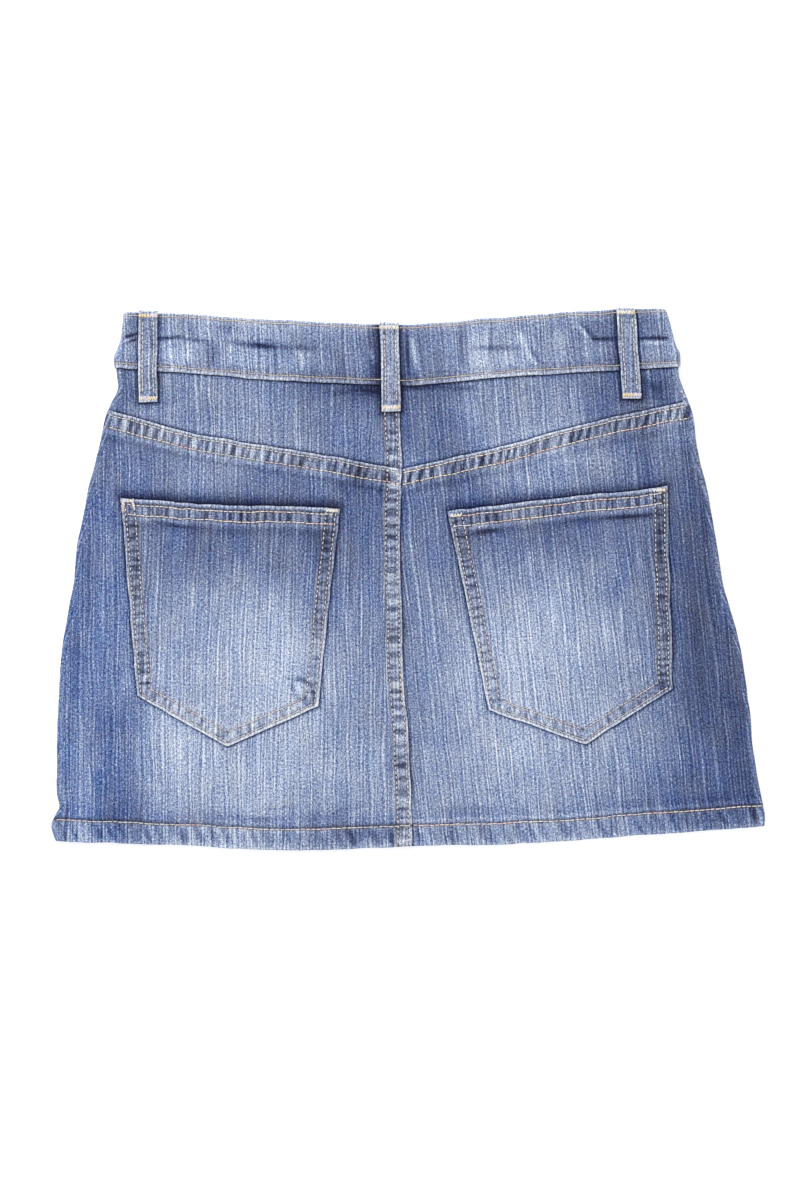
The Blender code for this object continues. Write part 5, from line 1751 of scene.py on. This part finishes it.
def make_front_panel(side):
    name = f"front_{side}"
    sign, right = SIGN[side], side == "right"
    share, fixed = spaced((0.0, 0.1, 0.35, 1.2, 3.0, 5.0), FRONT_GRID, HALF_WIDTH, (0.0, 2.0))
    up, rise, depth = hem_rows(FRONT_GRID, 320.0, (0.0, HELD, HELD + 1.2, HELD + 7.0), step=2.4)
    up, rise, depth = (part[:, None] for part in (up, rise, depth))
    s = sign * np.linspace(0.0, 1.0, len(share))[None, :]
    for _ in range(7):
        low, high = front_level("hem", s), front_level("band", s) + HELD
        y = low + (high - low) * up + rise
        width = half_width(side, y)
        start = GAP / 2
        if right:
            band = front_level("band", 0.0)
            start = start + (CORNER - start) * smooth(y[:, :1], band - 9.0, band - 1.0)
        out = start + (width - start) * share + fixed
        s = np.clip(sign * out / width, -1.0, 1.0)
    x = centre_x(y) + sign * out
    band = front_level("band", s)
    lift = climb(out) * smooth(y, band - 14.0, band - 1.0) if right else 0.0
    flat = (x, y, front_base(s, y) + front_rise(x, y, s) + lift + depth)
    # Round the side fold and onto the back
    side_y = y[:, -1:]
    radius, base = fold_radius(side, side_y), front_base(sign, side_y)
    inner = radius - depth
    angles = np.pi * np.arange(1, TURN_STEPS + 1)[None, :] / TURN_STEPS
    fold_x = body_edge(side, side_y) - sign * radius
    turn = (fold_x + sign * inner * np.sin(angles), side_y, base + radius - inner * np.cos(angles))
    reach = np.array((0.8, SIDE_WRAP - 0.3, SIDE_WRAP - 0.08, SIDE_WRAP))[None, :]
    wrap = (fold_x - sign * reach, side_y, base + radius + inner)
    place = np.concatenate([np.stack(np.broadcast_arrays(*part), axis=-1) for part in (flat, turn, wrap)],
                           axis=1)
    columns = place.shape[1]
    past = columns - 1 - np.arange(columns)[None, :]
    end_drop = round_edge(np.array((0.0, 0.08, 0.3, 1.2))[np.minimum(past, 3)]) * 0.12
    start_drop = np.pad(round_edge(fixed)[None, :6], ((0, 0), (0, columns - 6)))
    drop = np.maximum(np.where(past < 4, end_drop, 0.0), start_drop)
    run = np.concatenate((s * 200.0, sign * (200.0 + radius * angles),
                          sign * (200.0 + radius * np.pi + reach)), axis=1)
    tone, relief, lines = front_looks(side, place, depth, run, base, radius)
    place[..., 2] += relief
    flip = np.where(depth > FOLD, -1.0, 1.0)
    across = np.concatenate((x, fold_x + sign * radius * angles,
                             fold_x + sign * (radius * np.pi + reach)), axis=1)
    weave = (across + PIECE_SHIFT[name], low.min() + (place[..., 1] - low.min()) * flip)
    if right:
        place, tone, drop, *weave = mirrored(place, tone, drop, *weave)
        lines = {key: part[:, ::-1] for key, part in lines.items()}
    drop = np.broadcast_to(drop, place.shape[:2]) * np.where(depth > 0, 0.3, 1.0)
    add_cloth(name, place, weave, tone, drop=drop, worn=0.22, held="folded", rests_on=("floor",),
              **lines)


def front_stitches(side):
    x, y = row_across(side, "hem", HEM_ROW, front=True)
    path = lie_on(x, y, lambda x, y: np.full(len(x), 0.56), -1.0)
    return [sew(f"front_{side}_stitches", stitches(*path, seed=700, **HEM_STITCH), THREADS)]


# ---------------------------------------------------------------------------------------------
# The fastening, hidden under the skirt


ZIP_WIDTH = 26.0
ZIP_TOP = 115.0
ZIP_BOTTOM = 18.0
TAPE_LIFT = CLOTH + GAP + 0.55      # of the tape's face over the front's face
CAP = ((0.0, 0.45), (3.2, 0.5), (5.4, 0.62), (6.2, 0.75), (6.6, 0.7), (7.0, 0.25), (7.5, 0.0), (8.1, 0.1),
       (8.45, 0.5), (8.5, 1.0), (8.2, 1.3))     # (radius, height) of the button's domed and rimmed face
SLIDER = (((-3.0, -4.5, 0.0), (3.0, 4.5, 0.7)), ((-2.6, -4.0, 1.3), (2.6, 4.0, 1.9)),
          ((-0.7, 2.6, 0.7), (0.7, 3.8, 1.3)), ((-2.0, -16.0, 1.95), (2.0, -1.0, 2.25)))
BLOCK_FACES = ((0, 2, 3, 1), (4, 5, 7, 6), (0, 1, 5, 4), (1, 3, 7, 5), (3, 2, 6, 7), (2, 0, 4, 6))


def tube(profile, steps):
    """Turned shell from (radius, height) points that start and end on the axis."""
    profile = np.array(profile)
    angles = 2 * math.pi * np.arange(steps) / steps
    rings = profile[1:-1]
    points = np.stack((rings[:, :1] * np.cos(angles), rings[:, :1] * np.sin(angles),
                       np.broadcast_to(rings[:, 1:], (len(rings), steps))), axis=-1).reshape(-1, 3)
    points = np.concatenate((points, ((0.0, 0.0, profile[0, 1]), (0.0, 0.0, profile[-1, 1]))))
    index = np.arange(len(rings) * steps).reshape(len(rings), steps)
    after = np.roll(index, -1, axis=1)
    faces = np.stack((index[:-1], after[:-1], after[1:], index[1:]), axis=-1).reshape(-1, 4).tolist()
    first, last = len(rings) * steps, len(rings) * steps + 1
    faces += [[first, int(b), int(a)] for a, b in zip(index[0], after[0])]
    faces += [[last, int(a), int(b)] for a, b in zip(index[-1], after[-1])]
    return points, faces


def make_button():
    """Plain shank button, its cap down."""
    cap_top = BAND_FRONT - LEAF_OUT - GAP
    shank_top = BAND_FRONT + SEAM_OUT + GAP - 0.1
    shank = ((7.6, cap_top), (2.4, cap_top), (2.1, cap_top + 0.3), (2.1, shank_top - 0.2),
             (1.9, shank_top), (0.0, shank_top))
    points, faces = tube(CAP + shank, 48)
    add_piece("button_cap", points + np.array((*BUTTON_AT, 0.0)), faces, BRASS, "button")


def add_blocks(name, boxes):
    """One brass piece of plain blocks, each from its lowest to its highest corner."""
    corners, faces = [], []
    for low, high in boxes:
        faces += [[len(corners) + i for i in face] for face in BLOCK_FACES]
        across, along, up = zip(low, high)
        corners += [(x, y, z) for z in up for y in along for x in across]
    add_piece(name, np.array(corners), faces, BRASS)


def chain_place(y):
    """The middle of the zip's chain, on its tape."""
    x = float(centre_x(y)) - 1.0 - ZIP_WIDTH / 2
    return x, float(front_base(place_across(x, y), y)) + TAPE_LIFT


def make_zip():
    """Zip tape, its closed teeth, and the slider at their top."""
    share, fixed = spaced((0.0, 0.1, 0.35), 1.6, ZIP_WIDTH, (0.0, 0.1, 0.35))
    across = (share * ZIP_WIDTH + fixed)[None, :]
    y = np.linspace(ZIP_BOTTOM, ZIP_TOP, 60)[:, None]
    x = centre_x(y) - 1.0 - ZIP_WIDTH + across
    z = front_base(place_across(x, y), y) + TAPE_LIFT
    cloth = np.stack(np.broadcast_arrays(x, y, z), axis=-1)
    under = cloth - np.array((0.0, 0.0, 0.5))
    cloth[..., 2] -= round_edge(np.minimum(across, ZIP_WIDTH - across)) * 0.3
    faces = shell_faces(np.ones((cloth.shape[0] - 1, cloth.shape[1] - 1), bool))
    vertices = np.concatenate((cloth.reshape(-1, 3), under.reshape(-1, 3)))
    add_piece("zip_tape", vertices, faces.tolist(), TAPE, "zip")
    teeth = []
    for number, at in enumerate(np.arange(ZIP_BOTTOM + 4, ZIP_TOP - 12, 1.35)):
        middle, face = chain_place(at)
        middle += 0.7 if number % 2 else -0.7
        teeth.append(((middle - 1.5, at - 0.5, face + 0.01), (middle + 1.5, at + 0.5, face + 1.01)))
    add_blocks("zip_teeth", teeth)
    top = ZIP_TOP - 11.0
    middle, face = chain_place(top)
    at = (middle, top, face + 0.05)
    add_blocks("zip_slider", [[np.add(corner, at) for corner in box] for box in SLIDER])


# ---------------------------------------------------------------------------------------------
# Floor, light and camera


WORLD_LIGHT = 0.62
KEY_LIGHT = 62.0         # watts, from the upper left
FILL_LIGHT = 22.0        # watts, from the lower right
PIXEL = 0.65             # millimetres of the skirt in one pixel of the photograph
PHOTO_LONG = 1200        # pixels
PHOTO_MIDDLE = (-5.7, -13.1, 6.0)   # where the photograph's middle lies on the skirt
LENS = 85.0
SENSOR = 36.0


def make_floor():
    bpy.ops.mesh.primitive_plane_add(size=8.0, location=(0.0, 0.0, -0.0001))
    floor = bpy.context.object
    floor.name = "floor"
    material, _, _ = new_material("pale_floor", None, 0.9, **{
        "Base Color": (0.93, 0.93, 0.93, 1.0), "Specular IOR Level": 0.1,
        "Emission Color": (1.0, 1.0, 1.0, 1.0), "Emission Strength": 0.38})
    floor.data.materials.append(material)


def add_light(name, place, size, power):
    light = bpy.data.lights.new(name, "AREA")
    light.shape = "RECTANGLE"
    light.size, light.size_y = size, size
    light.energy = power
    lamp = bpy.data.objects.new(name, light)
    lamp.location = place
    lamp.rotation_euler = (-Vector(place)).to_track_quat("-Z", "Y").to_euler()
    bpy.context.scene.collection.objects.link(lamp)


def make_light():
    world = bpy.data.worlds.new("studio")
    bpy.context.scene.world = world
    world.use_nodes = True
    background = world.node_tree.nodes["Background"]
    set_inputs(background, {"Color": (1.0, 1.0, 1.0, 1.0), "Strength": WORLD_LIGHT})
    add_light("key", (-1.5, 1.9, 2.0), 1.2, KEY_LIGHT)
    add_light("fill", (1.6, -1.3, 2.4), 2.0, FILL_LIGHT)


def make_camera():
    """Straight above the photograph's middle, so high that the frame shows what the photograph shows."""
    data = bpy.data.cameras.new("camera")
    data.lens = LENS
    data.sensor_width = SENSOR
    data.sensor_fit = "AUTO"
    camera = bpy.data.objects.new("camera", data)
    x, y, z = PHOTO_MIDDLE
    camera.location = (x * MM, y * MM, (z + PHOTO_LONG * PIXEL * LENS / SENSOR) * MM)
    bpy.context.scene.collection.objects.link(camera)
    bpy.context.scene.camera = camera


# ---------------------------------------------------------------------------------------------
# The whole scene


def main():
    trim = {}
    for name in BACK_PIECES:
        make_back_piece(name)
        trim[name] = panel_stitches(name)
    for side in ("left", "right"):
        make_front_panel(side)
        trim[f"front_{side}"] = front_stitches(side)
    for name in POCKETS:
        make_pocket(name)
        trim[name] = pocket_stitches(name)
    make_waistband()
    trim["waistband"] = band_stitches()
    for loops, face_up in ((BACK_LOOPS, True), (FRONT_LOOPS, False)):
        for name in loops:
            make_loop(name, loops, face_up)
            trim[name] = loop_stitches(name, loops, face_up)
    make_button()
    make_zip()
    make_floor()
    for node, (piece, width, length, area, held, rests_on) in CUTS.items():
        list(rests_on)
        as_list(trim[node])
    make_light()
    make_camera()
    bpy.context.scene.view_settings.view_transform = "Standard"


main()
